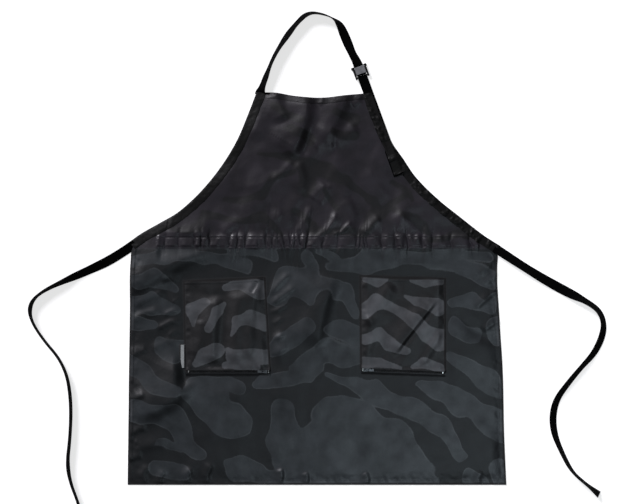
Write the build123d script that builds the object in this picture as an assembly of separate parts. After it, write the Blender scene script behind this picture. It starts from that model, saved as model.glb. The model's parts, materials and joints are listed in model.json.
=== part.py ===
"""Salon and studio smock apron, laid flat face up on a table.

+Z is up from the table, +Y runs from the hem to the bib, +X is to the right as the
apron is looked at. The origin is on the table, in the middle of the cloth. All sizes
are in millimetres.
"""

from build123d import *
import math
import os

# ---- cloth -------------------------------------------------------------------------
CLOTH = 1.2  # the body cloth with its turned hems, as a plain slab
HEM_Y = -402.0  # bottom hem
BIB_TOP_Y = 402.0  # top corners of the bib
HEM_HALF = 388.0  # half the hem's width
BAND_LOW_Y = 84.7  # lower edge of the gathered waist band
FOLD_Y = 108.15  # line that the bib folds about
FOLD_GAP = 0.3  # left open between the waist band and the bib
LEFT_WAIST_X = -367.0  # the body's left and right edges along the fold line
RIGHT_WAIST_X = 340.0
LEFT_BAND_X = -378.0  # and along the waist band's lower edge
RIGHT_BAND_X = 372.0
LEFT_CORNER = (-381.0, 73.6)  # where the ties are sewn in
RIGHT_CORNER = (368.4, 64.2)

# Each side of the bib, from the waist to the top corner.
LEFT_SIDE = [(LEFT_WAIST_X, 108.3), (-325.3, 132.4), (-257.5, 179.4), (-189.4, 260.6),
             (-142.3, 354.7), (-124.0, BIB_TOP_Y)]
RIGHT_SIDE = [(RIGHT_WAIST_X, 108.3), (301.6, 140.2), (249.3, 182.0), (178.8, 263.0),
              (134.3, 341.5), (112.0, BIB_TOP_Y)]
BIB_TOP_SAG = [(-45.0, 394.4), (13.0, 391.1), (66.0, 397.9)]
FACING_DEPTH = 13.0  # hem turned down along the bib's top
FACING = 0.8
BINDING_WIDTH = 19.5  # strips that bind the bib's curved sides
BINDING = 1.0

# ---- waist elastic -----------------------------------------------------------------
BAND_HEIGHT = 3.6  # gathered cloth standing over the elastic
CASING_X = (-322.0, 311.0)
CASING_WIDTH = 20.0
CASING = 0.8
ELASTIC_WIDTH = 18.0
ELASTIC = 1.4

# ---- pockets -----------------------------------------------------------------------
POCKET_ROOM = 4.8  # open height inside an empty pocket
POCKET_WALL = 1.0
SEAM = 3.0  # stitched-down margin along a pocket's sides and foot
# Mouth corners, left then right, and the sides' places along X at the zip that closes the foot.
POCKETS = {
    "left": {"mouth": [(-273.0, 15.8), (-107.0, 23.6)], "foot_x": (-269.5, -96.0)},
    "right": {"mouth": [(88.6, 26.2), (262.4, 20.9)], "foot_x": (91.0, 263.0)},
}
ZIP_MIDDLE = {"left": (-182.5, -169.5), "right": (177.0, -168.9)}
ZIP_TURN = {"left": 0.0, "right": -2.1}  # degrees about +Z
CLOSES_TOWARDS = {"left": 1, "right": -1}  # along the zip's own X

# ---- zips (coil size 3), each in its own frame along X ---------------------------------
ZIP_LENGTH = 171.0
ZIP_TAPE_Z = 2.9
ZIP_TAPE = 0.6
ZIP_HALF = 4.6  # from the middle line to the stitching
COIL_GAP = 1.2
COIL_WIDTH = 1.6
COIL_Z = (2.5, 3.9)
FOOT_STRIP_WIDTH = 5.2  # pocket cloth sewn to the zip's lower tape
STOP_SIZE = (2.0, 1.9, 2.6)
TOP_STOP_X = 83.2
BOTTOM_STOP_X = 80.5
SLIDER_X = 76.0  # slider's place when the zip is closed
SLIDER_LENGTH = 8.4
SLIDER_HALF_WIDTH = 3.6
SLIDER_PLATES_Z = ((1.5, 2.2), (4.2, 5.0))
SLIDER_POST = 0.6
BAIL_LENGTH = 5.6
BAIL_WIDTH = 1.4
BAIL_TOP_Z = 7.6
BAIL_INSIDE = (3.6, 6.8)  # opening's length, and its height above the table
PULL_PIN_R = 0.5
PULL_PIN_Z = 5.9
PULL_LENGTH = 15.0
PULL_WIDTH = 5.0
PULL_ARM = 1.2

# ---- label -------------------------------------------------------------------------
LABEL_CENTRE = (-276.2, -138.5)
LABEL_SIZE = (10.0, 47.0, 0.6)

# ---- webbing and buckle ------------------------------------------------------------
WEBBING_WIDTH = 20.0
WEBBING = 1.2
BUCKLE_CENTRE = (89.4, 444.0)
BUCKLE_SLOPE = 20.1  # degrees between the strap and the apron's length
BUCKLE_LENGTH = 26.0
BUCKLE_HALF_WIDTH = 14.6
CHEEK = 3.6
CHEEK_HEIGHT = 8.0
EAR = 1.8  # how far the corners flare out past the cheeks
BASE_PLATE = (0.0, 1.5)
STRAP_IN_BUCKLE_Z = 1.7
BAR_U = (8.6, 11.6)
BAR_Z = (2.2, 3.8)
PIVOT_U = -8.6
PIVOT_Z = 6.0
PIN_R = 1.25
PIN_PLAY = 0.05
HUB_R = 2.6
LEVER_HALF_WIDTH = 10.4
LEVER_TIP_U = 4.4
LEVER_Z = (7.2, 8.8)
RIDGE_TOP_Z = 10.0
ANCHOR_END = 226.0  # from the buckle's middle to the end hidden under the binding
ANCHOR_SEWN = 28.0  # length over which the loop's two layers lie together

# Ties and neck strap: the points each one's route turns at, from its sewn end.
TIE_RIGHT = [(371.0, 79.0), (438.0, 34.5), (510.0, -6.0), (553.0, -26.5), (581.0, -48.0),
             (588.5, -83.0), (571.0, -128.0), (539.0, -162.0), (512.0, -195.0),
             (489.5, -226.0), (481.5, -261.0), (485.0, -297.0), (501.0, -336.0),
             (521.0, -374.0), (549.0, -398.5), (577.0, -421.0)]
TIE_LEFT = [(-379.7, 87.0), (-416.0, 62.0), (-466.0, 38.0), (-516.0, 16.0), (-556.0, -2.5),
            (-581.5, -22.0), (-588.5, -47.0), (-579.0, -75.0), (-555.0, -109.5),
            (-529.0, -139.0), (-511.5, -174.5), (-504.5, -213.0), (-502.5, -256.0),
            (-505.0, -308.0), (-510.5, -356.0), (-504.0, -396.0), (-489.0, -434.0),
            (-481.0, -462.0)]
NECK_STRAP = [(-116.0, 402.0), (-103.5, 437.0), (-88.5, 475.0), (-66.0, 511.0),
              (-42.0, 543.0), (-18.0, 565.5), (15.0, 561.5), (44.0, 547.0), (57.5, 516.0),
              (71.8, 481.0)]


def slab(corners, low, high):
    """A flat piece with straight edges between two heights."""
    face = make_face(Polyline(*corners, close=True))
    return extrude(Pos(0, 0, low) * face, high - low)


def box(x, y, z):
    """A block from pairs of lowest and highest values."""
    size = [b - a for a, b in (x, y, z)]
    return Pos(x[0], y[0], z[0]) * Box(*size, align=(Align.MIN,) * 3)


def inset_side(points, depth):
    """A copy of a bib side moved square to itself, towards the middle of the bib."""
    side = Spline(*points)
    moved = []
    for step in range(len(points)):
        share = step / (len(points) - 1)
        place = side @ share
        along = side % share
        sign = 1 if points[0][0] < 0 else -1
        moved.append((place.X + sign * along.Y * depth, place.Y - sign * along.X * depth))
    return moved


def bib_outline():
    left = Spline(*LEFT_SIDE)
    top = Spline(LEFT_SIDE[-1], *BIB_TOP_SAG, RIGHT_SIDE[-1])
    right = Spline(*RIGHT_SIDE[::-1])
    foot = Line(RIGHT_SIDE[0], LEFT_SIDE[0])
    return make_face([left, top, right, foot])


def skirt_panel():
    corners = [(-HEM_HALF, HEM_Y), (HEM_HALF, HEM_Y), RIGHT_CORNER,
               (RIGHT_BAND_X, BAND_LOW_Y), (LEFT_BAND_X, BAND_LOW_Y), LEFT_CORNER]
    return slab(corners, 0, CLOTH)


def casing_box(width, low, high):
    middle = (BAND_LOW_Y + FOLD_Y) / 2
    return box(CASING_X, (middle - width / 2, middle + width / 2), (low, high))


def waist_gathers():
    """The body cloth over the elastic: flat beyond the casing, and arched over it."""
    top = FOLD_Y - FOLD_GAP / 2
    flat = slab([(LEFT_BAND_X, BAND_LOW_Y), (RIGHT_BAND_X, BAND_LOW_Y),
                 (RIGHT_WAIST_X, top), (LEFT_WAIST_X, top)], 0, CLOTH)
    edge = (CASING_X[0] - CLOTH, CASING_X[1] + CLOTH)
    arch = box(edge, (BAND_LOW_Y, top), (0, BAND_HEIGHT))
    return flat + arch - casing_box(CASING_WIDTH, 0, CASING + ELASTIC)


def bib_panel():
    return extrude(bib_outline(), CLOTH)


def side_binding(points, webbing=None):
    """A strip on the bib's curved edge, lying over the webbing where that runs under it."""
    inner = inset_side(points, BINDING_WIDTH)
    outer_edge = Spline(*points)
    inner_edge = Spline(*inner[::-1])
    ends = [Line(outer_edge @ 1, inner_edge @ 0), Line(inner_edge @ 1, outer_edge @ 0)]
    strip_face = make_face([outer_edge, ends[0], inner_edge, ends[1]]) & bib_outline()
    strip = extrude(Pos(0, 0, CLOTH) * strip_face, BINDING)
    if webbing is None:
        return strip
    thick = extrude(Pos(0, 0, CLOTH) * strip_face, WEBBING + BINDING)
    along_webbing = anchor_strip(0, ANCHOR_END + BINDING, CLOTH, CLOTH + WEBBING + BINDING)
    raised = thick & along_webbing
    return strip + raised - webbing


def bib_top_facing(bindings):
    top = Spline(LEFT_SIDE[-1], *BIB_TOP_SAG, RIGHT_SIDE[-1])
    lowered = Spline(*[(p[0], p[1] - FACING_DEPTH)
                       for p in [LEFT_SIDE[-1], *BIB_TOP_SAG, RIGHT_SIDE[-1]]])
    sides = [Line(top @ 1, lowered @ 1), Line(lowered @ 0, top @ 0)]
    band = make_face([top, sides[0], lowered, sides[1]]) & bib_outline()
    facing = extrude(Pos(0, 0, CLOTH) * band, FACING)
    for binding in bindings:
        facing = facing - binding
    return facing


def on_zip_edge(side, x):
    """The point at x on the line where a pocket's front is sewn to its zip."""
    turn = math.radians(ZIP_TURN[side])
    middle_x, middle_y = ZIP_MIDDLE[side]
    return x, middle_y + ZIP_HALF / math.cos(turn) + (x - middle_x) * math.tan(turn)


def pocket_panel(side):
    """Front cloth of a pocket with its sewn margins; the mouth is at the top."""
    top_left, top_right = POCKETS[side]["mouth"]
    foot_left, foot_right = [on_zip_edge(side, x) for x in POCKETS[side]["foot_x"]]
    top_of_room = CLOTH + POCKET_ROOM
    corners = [top_left, top_right, foot_right, foot_left]
    shell = slab(corners, CLOTH, top_of_room + POCKET_WALL)
    past = 20.0  # the room's block runs out past the mouth by this
    room = [(top_left[0] + SEAM, top_left[1] + past), (top_right[0] - SEAM, top_right[1] + past),
            (foot_right[0] - SEAM, foot_right[1] + SEAM), (foot_left[0] + SEAM, foot_left[1] + SEAM)]
    return shell - slab(room, CLOTH, top_of_room)


def zip_place(side):
    x, y = ZIP_MIDDLE[side]
    return Pos(x, y, 0) * Rot(0, 0, ZIP_TURN[side])


def zip_tape(way):
    y = sorted((way * (COIL_GAP / 2 + COIL_WIDTH), way * ZIP_HALF))
    tape_z = (ZIP_TAPE_Z, ZIP_TAPE_Z + ZIP_TAPE)
    return box((-ZIP_LENGTH / 2, ZIP_LENGTH / 2), y, tape_z)


def zip_coil(way):
    y = sorted((way * COIL_GAP / 2, way * (COIL_GAP / 2 + COIL_WIDTH)))
    reach = BOTTOM_STOP_X - STOP_SIZE[0] / 2
    return box((-reach, reach), y, COIL_Z)


def zip_foot_strip():
    y = (-ZIP_HALF - FOOT_STRIP_WIDTH, -ZIP_HALF)
    return box((-ZIP_LENGTH / 2, ZIP_LENGTH / 2), y, (CLOTH, ZIP_TAPE_Z + ZIP_TAPE))


def zip_top_stops(closes):
    """Two metal stops clamped on the tapes past the closed slider."""
    length, width, height = STOP_SIZE
    stops = []
    for way in (-1, 1):
        middle = way * (COIL_GAP / 2 + COIL_WIDTH / 2)
        stop = box((-length / 2, length / 2), (middle - width / 2 + 0.2, middle + width / 2 - 0.2),
                   (COIL_Z[0], COIL_Z[0] + height))
        stops.append(Pos(closes * TOP_STOP_X, 0, 0) * stop)
    return Compound(children=stops)


def zip_bottom_stop(closes):
    length, width, height = STOP_SIZE
    x = -closes * BOTTOM_STOP_X
    return box((x - length / 2, x + length / 2), (-width, width), (COIL_Z[0], COIL_Z[0] + height))


def zip_slider(closes):
    """Two plates joined by a post between the coils, with a bail on top for the pull."""
    half = SLIDER_LENGTH / 2
    wide = SLIDER_HALF_WIDTH
    plates = []
    for low, high in SLIDER_PLATES_Z:
        outline = [(-half, -wide * 0.72), (half, -wide), (half, wide), (-half, wide * 0.72)]
        plates.append(slab(outline, low, high))
    post = box((half - 2.6, half - 0.4), (-SLIDER_POST / 2, SLIDER_POST / 2),
               (SLIDER_PLATES_Z[0][0], SLIDER_PLATES_Z[1][0]))
    plate_top = SLIDER_PLATES_Z[1][1]
    bail = box((-BAIL_LENGTH / 2, BAIL_LENGTH / 2), (-BAIL_WIDTH / 2, BAIL_WIDTH / 2),
               (plate_top, BAIL_TOP_Z))
    opening, under = BAIL_INSIDE
    bail = bail - box((-opening / 2, opening / 2), (-BAIL_WIDTH, BAIL_WIDTH), (plate_top, under))
    body = plates[0] + post + plates[1] + bail
    if closes < 0:
        body = Rot(0, 0, 180) * body
    return Pos(closes * SLIDER_X, 0, 0) * body


def zip_pull(closes):
    """A tab with an eye whose end bar turns under the slider's bail."""
    half = PULL_WIDTH / 2
    pin = Pos(0, 0, PULL_PIN_Z) * Rot(90, 0, 0) * Cylinder(PULL_PIN_R, PULL_WIDTH)
    low, high = PULL_PIN_Z - PULL_PIN_R, PULL_PIN_Z + PULL_PIN_R
    arms = [box((-BAIL_LENGTH, 0), sorted((way * half, way * (half - PULL_ARM))), (low, high))
            for way in (-1, 1)]
    tab = box((-PULL_LENGTH, -BAIL_LENGTH), (-half, half), (low, high))
    pull = pin + arms[0] + arms[1] + tab
    if closes < 0:
        pull = Rot(0, 0, 180) * pull
    return Pos(closes * SLIDER_X, 0, 0) * pull


def side_label():
    x, y = LABEL_CENTRE
    width, length, thick = LABEL_SIZE
    return box((x - width / 2, x + width / 2), (y - length / 2, y + length / 2),
               (CLOTH, CLOTH + thick))


def buckle_place():
    """The buckle's frame: X runs down the strap, Y across it, Z up."""
    return Plane(origin=(*BUCKLE_CENTRE, 0),
                 x_dir=(math.sin(math.radians(BUCKLE_SLOPE)), -math.cos(math.radians(BUCKLE_SLOPE)), 0),
                 z_dir=(0, 0, 1)).location


def across(profile, half_width):
    """A solid with the same outline, in the strap's length and height, all across it."""
    outline = Plane.XZ * Polyline(*profile, close=True)
    side = make_face(outline)
    return Pos(0, half_width, 0) * extrude(side, 2 * half_width, dir=(0, -1, 0))


def anchor_strip(start, end, low, high):
    half = WEBBING_WIDTH / 2
    return buckle_place() * box((start, end), (-half, half), (low, high))


def buckle_frame():
    half = BUCKLE_LENGTH / 2
    wide = BUCKLE_HALF_WIDTH
    frame = box((-half, BAR_U[0] - 4.0), (-wide, wide), BASE_PLATE)
    for way in (-1, 1):
        cheek = sorted((way * wide, way * (wide - CHEEK)))
        frame = frame + box((-half, half), cheek, (0, CHEEK_HEIGHT))
        ear = sorted((way * wide, way * (wide + EAR)))
        frame = frame + box((-half, -half + 5.0), ear, (0, CHEEK_HEIGHT - 2.0))
    frame = frame + box(BAR_U, (-wide, wide), BAR_Z)
    hole = Pos(PIVOT_U, 0, PIVOT_Z) * Rot(90, 0, 0) * Cylinder(PIN_R, 4 * wide)
    return buckle_place() * (frame - hole)


def buckle_pin():
    pin = Pos(PIVOT_U, 0, PIVOT_Z) * Rot(90, 0, 0) * Cylinder(PIN_R, 2 * BUCKLE_HALF_WIDTH)
    return buckle_place() * pin


def buckle_lever():
    """A hub about the pin with a thumb plate that lies flat over the strap when shut."""
    half = LEVER_HALF_WIDTH
    hub = Pos(PIVOT_U, 0, PIVOT_Z) * Rot(90, 0, 0) * Cylinder(HUB_R, 2 * half)
    plate = box((PIVOT_U - 1.5, LEVER_TIP_U), (-half, half), LEVER_Z)
    web = box((PIVOT_U - 1.5, PIVOT_U + 1.5), (-half, half), (PIVOT_Z, LEVER_Z[0]))
    ridge = box((LEVER_TIP_U - 1.8, LEVER_TIP_U), (-half + 1.5, half - 1.5), (LEVER_Z[1], RIDGE_TOP_Z))
    bore = Pos(PIVOT_U, 0, PIVOT_Z) * Rot(90, 0, 0) * Cylinder(PIN_R + PIN_PLAY, 3 * half)
    return buckle_place() * (hub + plate + web + ridge - bore)


def neck_strap_anchor():
    """Webbing looped round the buckle's bar, sewn to itself and on down under the binding."""
    in_u, out_u = BAR_U[0] - WEBBING, BAR_U[1] + WEBBING
    low, high = BAR_Z[0] - WEBBING, BAR_Z[1] + WEBBING
    sewn_end = BAR_U[1] + ANCHOR_SEWN
    outline = [(in_u, low), (out_u, low), (out_u + 3.0, CLOTH), (ANCHOR_END, CLOTH),
               (ANCHOR_END, CLOTH + WEBBING), (sewn_end, CLOTH + WEBBING),
               (sewn_end, CLOTH + 2 * WEBBING), (out_u + 3.0, CLOTH + 2 * WEBBING),
               (out_u, high), (in_u, high)]
    bar = box(BAR_U, (-BUCKLE_HALF_WIDTH, BUCKLE_HALF_WIDTH), BAR_Z)
    return buckle_place() * (across(outline, WEBBING_WIDTH / 2) - bar)


def tape_radii(points):
    """One radius for each corner: 0.45 of its shorter run over the tangent of half the turn."""
    radii = []
    for before, here, after in zip(points, points[1:], points[2:]):
        run_in = Vector(*here) - Vector(*before)
        run_out = Vector(*after) - Vector(*here)
        half_turn = math.radians(run_in.get_angle(run_out)) / 2
        radii.append(0.45 * min(run_in.length, run_out.length) / math.tan(half_turn))
    return radii


def tape(name, points):
    """A flat ribbon of webbing lying on the table along straight runs and tangent arcs."""
    radii = tape_radii(points)
    line = FilletPolyline(*points, radius=radii)
    start = line % 0
    section = make_face(Polyline(
        *[Vector(*points[0]) + start.rotate(Axis.Z, 90) * (way * WEBBING_WIDTH / 2) + Vector(0, 0, z)
          for way, z in ((-1, 0), (1, 0), (1, WEBBING), (-1, WEBBING))], close=True))
    ribbon = sweep(section, line)
    expected = WEBBING_WIDTH * WEBBING * line.length
    runs = [(Vector(*b) - Vector(*a)).length for a, b in zip(points, points[1:])]
    print(name, "length", round(line.length, 1), "runs", [round(r, 1) for r in runs])
    print("  radii", [round(r, 1) for r in radii], "volume share", round(ribbon.volume / expected, 4))
    return ribbon


def neck_strap():
    """The strap lies on the table, rises on to the buckle's base plate and runs through it."""
    slope = math.radians(BUCKLE_SLOPE)
    along = Vector(math.sin(slope), -math.cos(slope), 0)
    ramp_u = -BUCKLE_LENGTH / 2 - 8.0
    foot = Vector(*BUCKLE_CENTRE) + along * ramp_u
    flat = tape("neck_strap", [*NECK_STRAP, (foot.X, foot.Y)])
    enter_u = -BUCKLE_LENGTH / 2 - 0.5
    leave_u = BAR_U[0] - 3.0
    low = STRAP_IN_BUCKLE_Z
    rise = [(ramp_u, 0), (enter_u, low), (leave_u, low), (leave_u, low + WEBBING),
            (enter_u, low + WEBBING), (ramp_u, WEBBING)]
    return flat + buckle_place() * across(rise, WEBBING_WIDTH / 2)


def build():
    anchor = neck_strap_anchor()
    bindings = {"left": side_binding(LEFT_SIDE), "right": side_binding(RIGHT_SIDE, anchor)}
    bib = bib_panel()
    facing = bib_top_facing(bindings.values()) - anchor
    skirt = skirt_panel()
    gathers = waist_gathers()
    nodes = {
        "skirt_panel": skirt,
        "waist_gathers": gathers,
        "waist_casing": casing_box(CASING_WIDTH, 0, CASING),
        "waist_elastic": casing_box(ELASTIC_WIDTH, CASING, CASING + ELASTIC),
        "bib_panel": bib,
        "bib_top_facing": facing,
        "side_binding_left": bindings["left"],
        "side_binding_right": bindings["right"],
        "side_label": side_label(),
        "buckle_frame": buckle_frame(),
        "buckle_pin": buckle_pin(),
        "buckle_lever": buckle_lever(),
        "neck_strap_anchor": anchor,
        "neck_strap": neck_strap() - bib,
        "waist_tie_left": tape("waist_tie_left", TIE_LEFT) - skirt - gathers,
        "waist_tie_right": tape("waist_tie_right", TIE_RIGHT) - skirt - gathers,
    }
    for side in POCKETS:
        place = zip_place(side)
        closes = CLOSES_TOWARDS[side]
        nodes["pocket_panel_" + side] = pocket_panel(side)
        nodes["zip_foot_strip_" + side] = place * zip_foot_strip()
        nodes["zip_tape_upper_" + side] = place * zip_tape(1)
        nodes["zip_tape_lower_" + side] = place * zip_tape(-1)
        nodes["zip_coil_upper_" + side] = place * zip_coil(1)
        nodes["zip_coil_lower_" + side] = place * zip_coil(-1)
        nodes["zip_top_stops_" + side] = place * zip_top_stops(closes)
        nodes["zip_bottom_stop_" + side] = place * zip_bottom_stop(closes)
        nodes["zip_slider_" + side] = place * zip_slider(closes)
        nodes["zip_pull_" + side] = place * zip_pull(closes)
    return nodes


os.makedirs("parts", exist_ok=True)
for node, shape in build().items():
    export_step(shape, "parts/" + node + ".step")
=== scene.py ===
"""The looks of a smock apron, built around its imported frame. Metres, +Z up from the table.

Cloth shapes are worked out in millimetres and scaled on their way into a mesh.
"""

import bpy
import json
import math
import numpy as np
from mathutils import Vector
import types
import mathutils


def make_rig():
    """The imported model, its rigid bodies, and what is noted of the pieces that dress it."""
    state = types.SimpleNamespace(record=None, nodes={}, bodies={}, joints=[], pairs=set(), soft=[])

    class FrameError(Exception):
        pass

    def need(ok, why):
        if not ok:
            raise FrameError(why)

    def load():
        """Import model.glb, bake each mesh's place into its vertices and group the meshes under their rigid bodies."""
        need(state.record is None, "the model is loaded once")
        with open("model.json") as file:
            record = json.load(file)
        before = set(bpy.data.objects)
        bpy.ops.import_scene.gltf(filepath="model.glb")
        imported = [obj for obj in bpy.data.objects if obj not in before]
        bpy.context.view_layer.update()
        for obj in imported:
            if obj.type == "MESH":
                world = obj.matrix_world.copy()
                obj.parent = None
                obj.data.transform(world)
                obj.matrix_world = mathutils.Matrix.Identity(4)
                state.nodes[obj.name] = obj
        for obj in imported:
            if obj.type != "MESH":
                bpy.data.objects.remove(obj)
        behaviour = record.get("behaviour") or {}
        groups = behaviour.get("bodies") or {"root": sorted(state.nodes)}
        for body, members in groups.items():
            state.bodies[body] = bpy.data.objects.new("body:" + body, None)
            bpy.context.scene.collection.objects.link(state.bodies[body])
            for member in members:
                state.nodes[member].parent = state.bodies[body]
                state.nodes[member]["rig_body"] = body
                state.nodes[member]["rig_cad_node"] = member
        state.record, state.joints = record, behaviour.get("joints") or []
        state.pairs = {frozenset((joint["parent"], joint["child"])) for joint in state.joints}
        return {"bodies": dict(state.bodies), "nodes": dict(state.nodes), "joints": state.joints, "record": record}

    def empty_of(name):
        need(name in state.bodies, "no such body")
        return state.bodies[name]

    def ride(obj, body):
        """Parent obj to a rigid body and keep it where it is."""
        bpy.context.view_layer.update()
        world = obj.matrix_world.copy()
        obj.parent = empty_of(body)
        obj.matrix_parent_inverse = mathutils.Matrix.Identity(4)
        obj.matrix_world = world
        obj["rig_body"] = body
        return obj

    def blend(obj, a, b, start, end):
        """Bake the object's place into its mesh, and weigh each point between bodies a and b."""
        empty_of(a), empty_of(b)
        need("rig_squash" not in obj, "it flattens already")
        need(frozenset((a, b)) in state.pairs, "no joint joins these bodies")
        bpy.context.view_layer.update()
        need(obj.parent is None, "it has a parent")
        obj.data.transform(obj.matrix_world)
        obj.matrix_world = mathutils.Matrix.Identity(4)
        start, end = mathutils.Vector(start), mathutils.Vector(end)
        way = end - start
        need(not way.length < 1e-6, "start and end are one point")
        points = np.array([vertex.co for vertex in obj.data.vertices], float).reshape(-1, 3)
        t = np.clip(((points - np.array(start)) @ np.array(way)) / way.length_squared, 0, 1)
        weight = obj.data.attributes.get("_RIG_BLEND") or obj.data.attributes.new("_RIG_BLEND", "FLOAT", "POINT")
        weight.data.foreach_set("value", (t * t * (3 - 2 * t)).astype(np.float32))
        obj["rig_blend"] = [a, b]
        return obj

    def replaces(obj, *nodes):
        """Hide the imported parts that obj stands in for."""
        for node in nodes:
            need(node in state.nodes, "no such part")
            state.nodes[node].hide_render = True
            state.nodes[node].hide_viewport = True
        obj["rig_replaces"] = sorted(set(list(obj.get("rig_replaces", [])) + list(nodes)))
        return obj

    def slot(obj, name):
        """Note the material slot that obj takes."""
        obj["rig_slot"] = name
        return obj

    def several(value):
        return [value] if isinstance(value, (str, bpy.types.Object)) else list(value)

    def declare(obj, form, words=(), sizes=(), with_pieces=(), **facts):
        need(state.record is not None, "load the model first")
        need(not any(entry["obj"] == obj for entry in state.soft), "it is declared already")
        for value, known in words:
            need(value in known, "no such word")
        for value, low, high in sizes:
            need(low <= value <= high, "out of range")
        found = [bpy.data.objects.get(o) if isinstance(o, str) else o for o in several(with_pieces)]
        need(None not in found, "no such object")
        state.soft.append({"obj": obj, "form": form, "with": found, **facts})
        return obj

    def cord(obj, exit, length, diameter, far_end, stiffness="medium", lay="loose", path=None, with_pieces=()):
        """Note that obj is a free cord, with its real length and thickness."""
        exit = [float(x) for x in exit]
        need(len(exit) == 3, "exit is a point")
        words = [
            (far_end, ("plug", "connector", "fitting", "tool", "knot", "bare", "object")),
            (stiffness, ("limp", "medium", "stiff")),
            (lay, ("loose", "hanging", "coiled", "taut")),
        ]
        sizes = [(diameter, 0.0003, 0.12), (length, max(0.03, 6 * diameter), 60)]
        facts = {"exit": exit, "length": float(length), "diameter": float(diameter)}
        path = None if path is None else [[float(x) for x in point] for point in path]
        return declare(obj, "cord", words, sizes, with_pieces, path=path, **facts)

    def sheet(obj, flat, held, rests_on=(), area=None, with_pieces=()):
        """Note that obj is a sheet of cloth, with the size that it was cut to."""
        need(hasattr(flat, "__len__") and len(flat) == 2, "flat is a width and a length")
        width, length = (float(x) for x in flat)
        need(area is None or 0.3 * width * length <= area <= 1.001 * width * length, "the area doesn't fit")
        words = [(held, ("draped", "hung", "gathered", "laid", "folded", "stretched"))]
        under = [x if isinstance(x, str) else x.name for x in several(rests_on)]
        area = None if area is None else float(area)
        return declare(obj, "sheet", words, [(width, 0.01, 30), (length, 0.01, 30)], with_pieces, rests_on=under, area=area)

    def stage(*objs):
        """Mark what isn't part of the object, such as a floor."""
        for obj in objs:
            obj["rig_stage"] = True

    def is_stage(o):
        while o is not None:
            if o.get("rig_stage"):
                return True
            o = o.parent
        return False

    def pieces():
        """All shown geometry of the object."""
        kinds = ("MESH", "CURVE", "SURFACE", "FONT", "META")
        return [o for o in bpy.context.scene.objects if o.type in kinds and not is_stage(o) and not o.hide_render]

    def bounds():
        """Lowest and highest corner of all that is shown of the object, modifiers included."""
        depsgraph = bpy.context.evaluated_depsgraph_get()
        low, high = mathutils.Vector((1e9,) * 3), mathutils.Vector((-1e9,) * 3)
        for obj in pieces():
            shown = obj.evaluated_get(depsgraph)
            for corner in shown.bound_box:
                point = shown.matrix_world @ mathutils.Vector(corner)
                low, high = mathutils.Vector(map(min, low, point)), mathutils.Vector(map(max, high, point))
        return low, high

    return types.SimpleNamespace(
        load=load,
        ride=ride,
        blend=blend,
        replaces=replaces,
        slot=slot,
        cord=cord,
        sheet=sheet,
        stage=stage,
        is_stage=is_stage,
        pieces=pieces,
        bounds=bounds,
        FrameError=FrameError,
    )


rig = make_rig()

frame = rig.load()
cad_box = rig.bounds()

MM = 0.001
MATERIALS = {}

# ---- camera, light and floor, in metres and degrees ------------------------------------
VIEW_MIDDLE = (-0.0041, 0.0752)
VIEW_WIDTH = 1.2915
CAMERA_HEIGHT = 3.0
SENSOR = 36.0
FLOOR_REACH = 20
FLOOR_GLOW = 0.72
WORLD_LIGHT = 0.055
KEY_PLACE = (-3.1, 3.9, 3.3)
KEY_ENERGY = 4.3
KEY_COLOUR = (0.96, 0.94, 1.0)
KEY_SPREAD = 20
SPOT_PLACE = (0.74, -0.94, 3.1)
SPOT_AIM = (0.46, -0.50, 0)
SPOT_ENERGY = 52
SPOT_COLOUR = (0.76, 0.91, 1.0)
SPOT_SPREAD = 47
SPOT_SIZE = 0.35

# ---- webbing routes, in metres, as in the CAD ------------------------------------------
WEBBING_WIDTH = 0.020
WEBBING = 0.0012
ROUTE_STEP = 0.003
TABLE_GAP = 0.0002
TIE_TUCK = 0.009
NECK_TUCK = 0.006
TIE_RIGHT = [(0.371, 0.079), (0.438, 0.0345), (0.510, -0.006), (0.553, -0.0265),
             (0.581, -0.048), (0.5885, -0.083), (0.571, -0.128), (0.539, -0.162),
             (0.512, -0.195), (0.4895, -0.226), (0.4815, -0.261), (0.485, -0.297),
             (0.501, -0.336), (0.521, -0.374), (0.549, -0.3985), (0.577, -0.421)]
TIE_LEFT = [(-0.3797, 0.087), (-0.416, 0.062), (-0.466, 0.038), (-0.516, 0.016),
            (-0.556, -0.0025), (-0.5815, -0.022), (-0.5885, -0.047), (-0.579, -0.075),
            (-0.555, -0.1095), (-0.529, -0.139), (-0.5115, -0.1745), (-0.5045, -0.213),
            (-0.5025, -0.256), (-0.505, -0.308), (-0.5105, -0.356), (-0.504, -0.396),
            (-0.489, -0.434), (-0.481, -0.462)]
NECK_STRAP = [(-0.116, 0.402), (-0.1035, 0.437), (-0.0885, 0.475), (-0.066, 0.511),
              (-0.042, 0.543), (-0.018, 0.5655), (0.015, 0.5615), (0.044, 0.547),
              (0.0575, 0.516), (0.0718, 0.481), (0.0822, 0.4637), (0.0918, 0.4374)]
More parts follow.
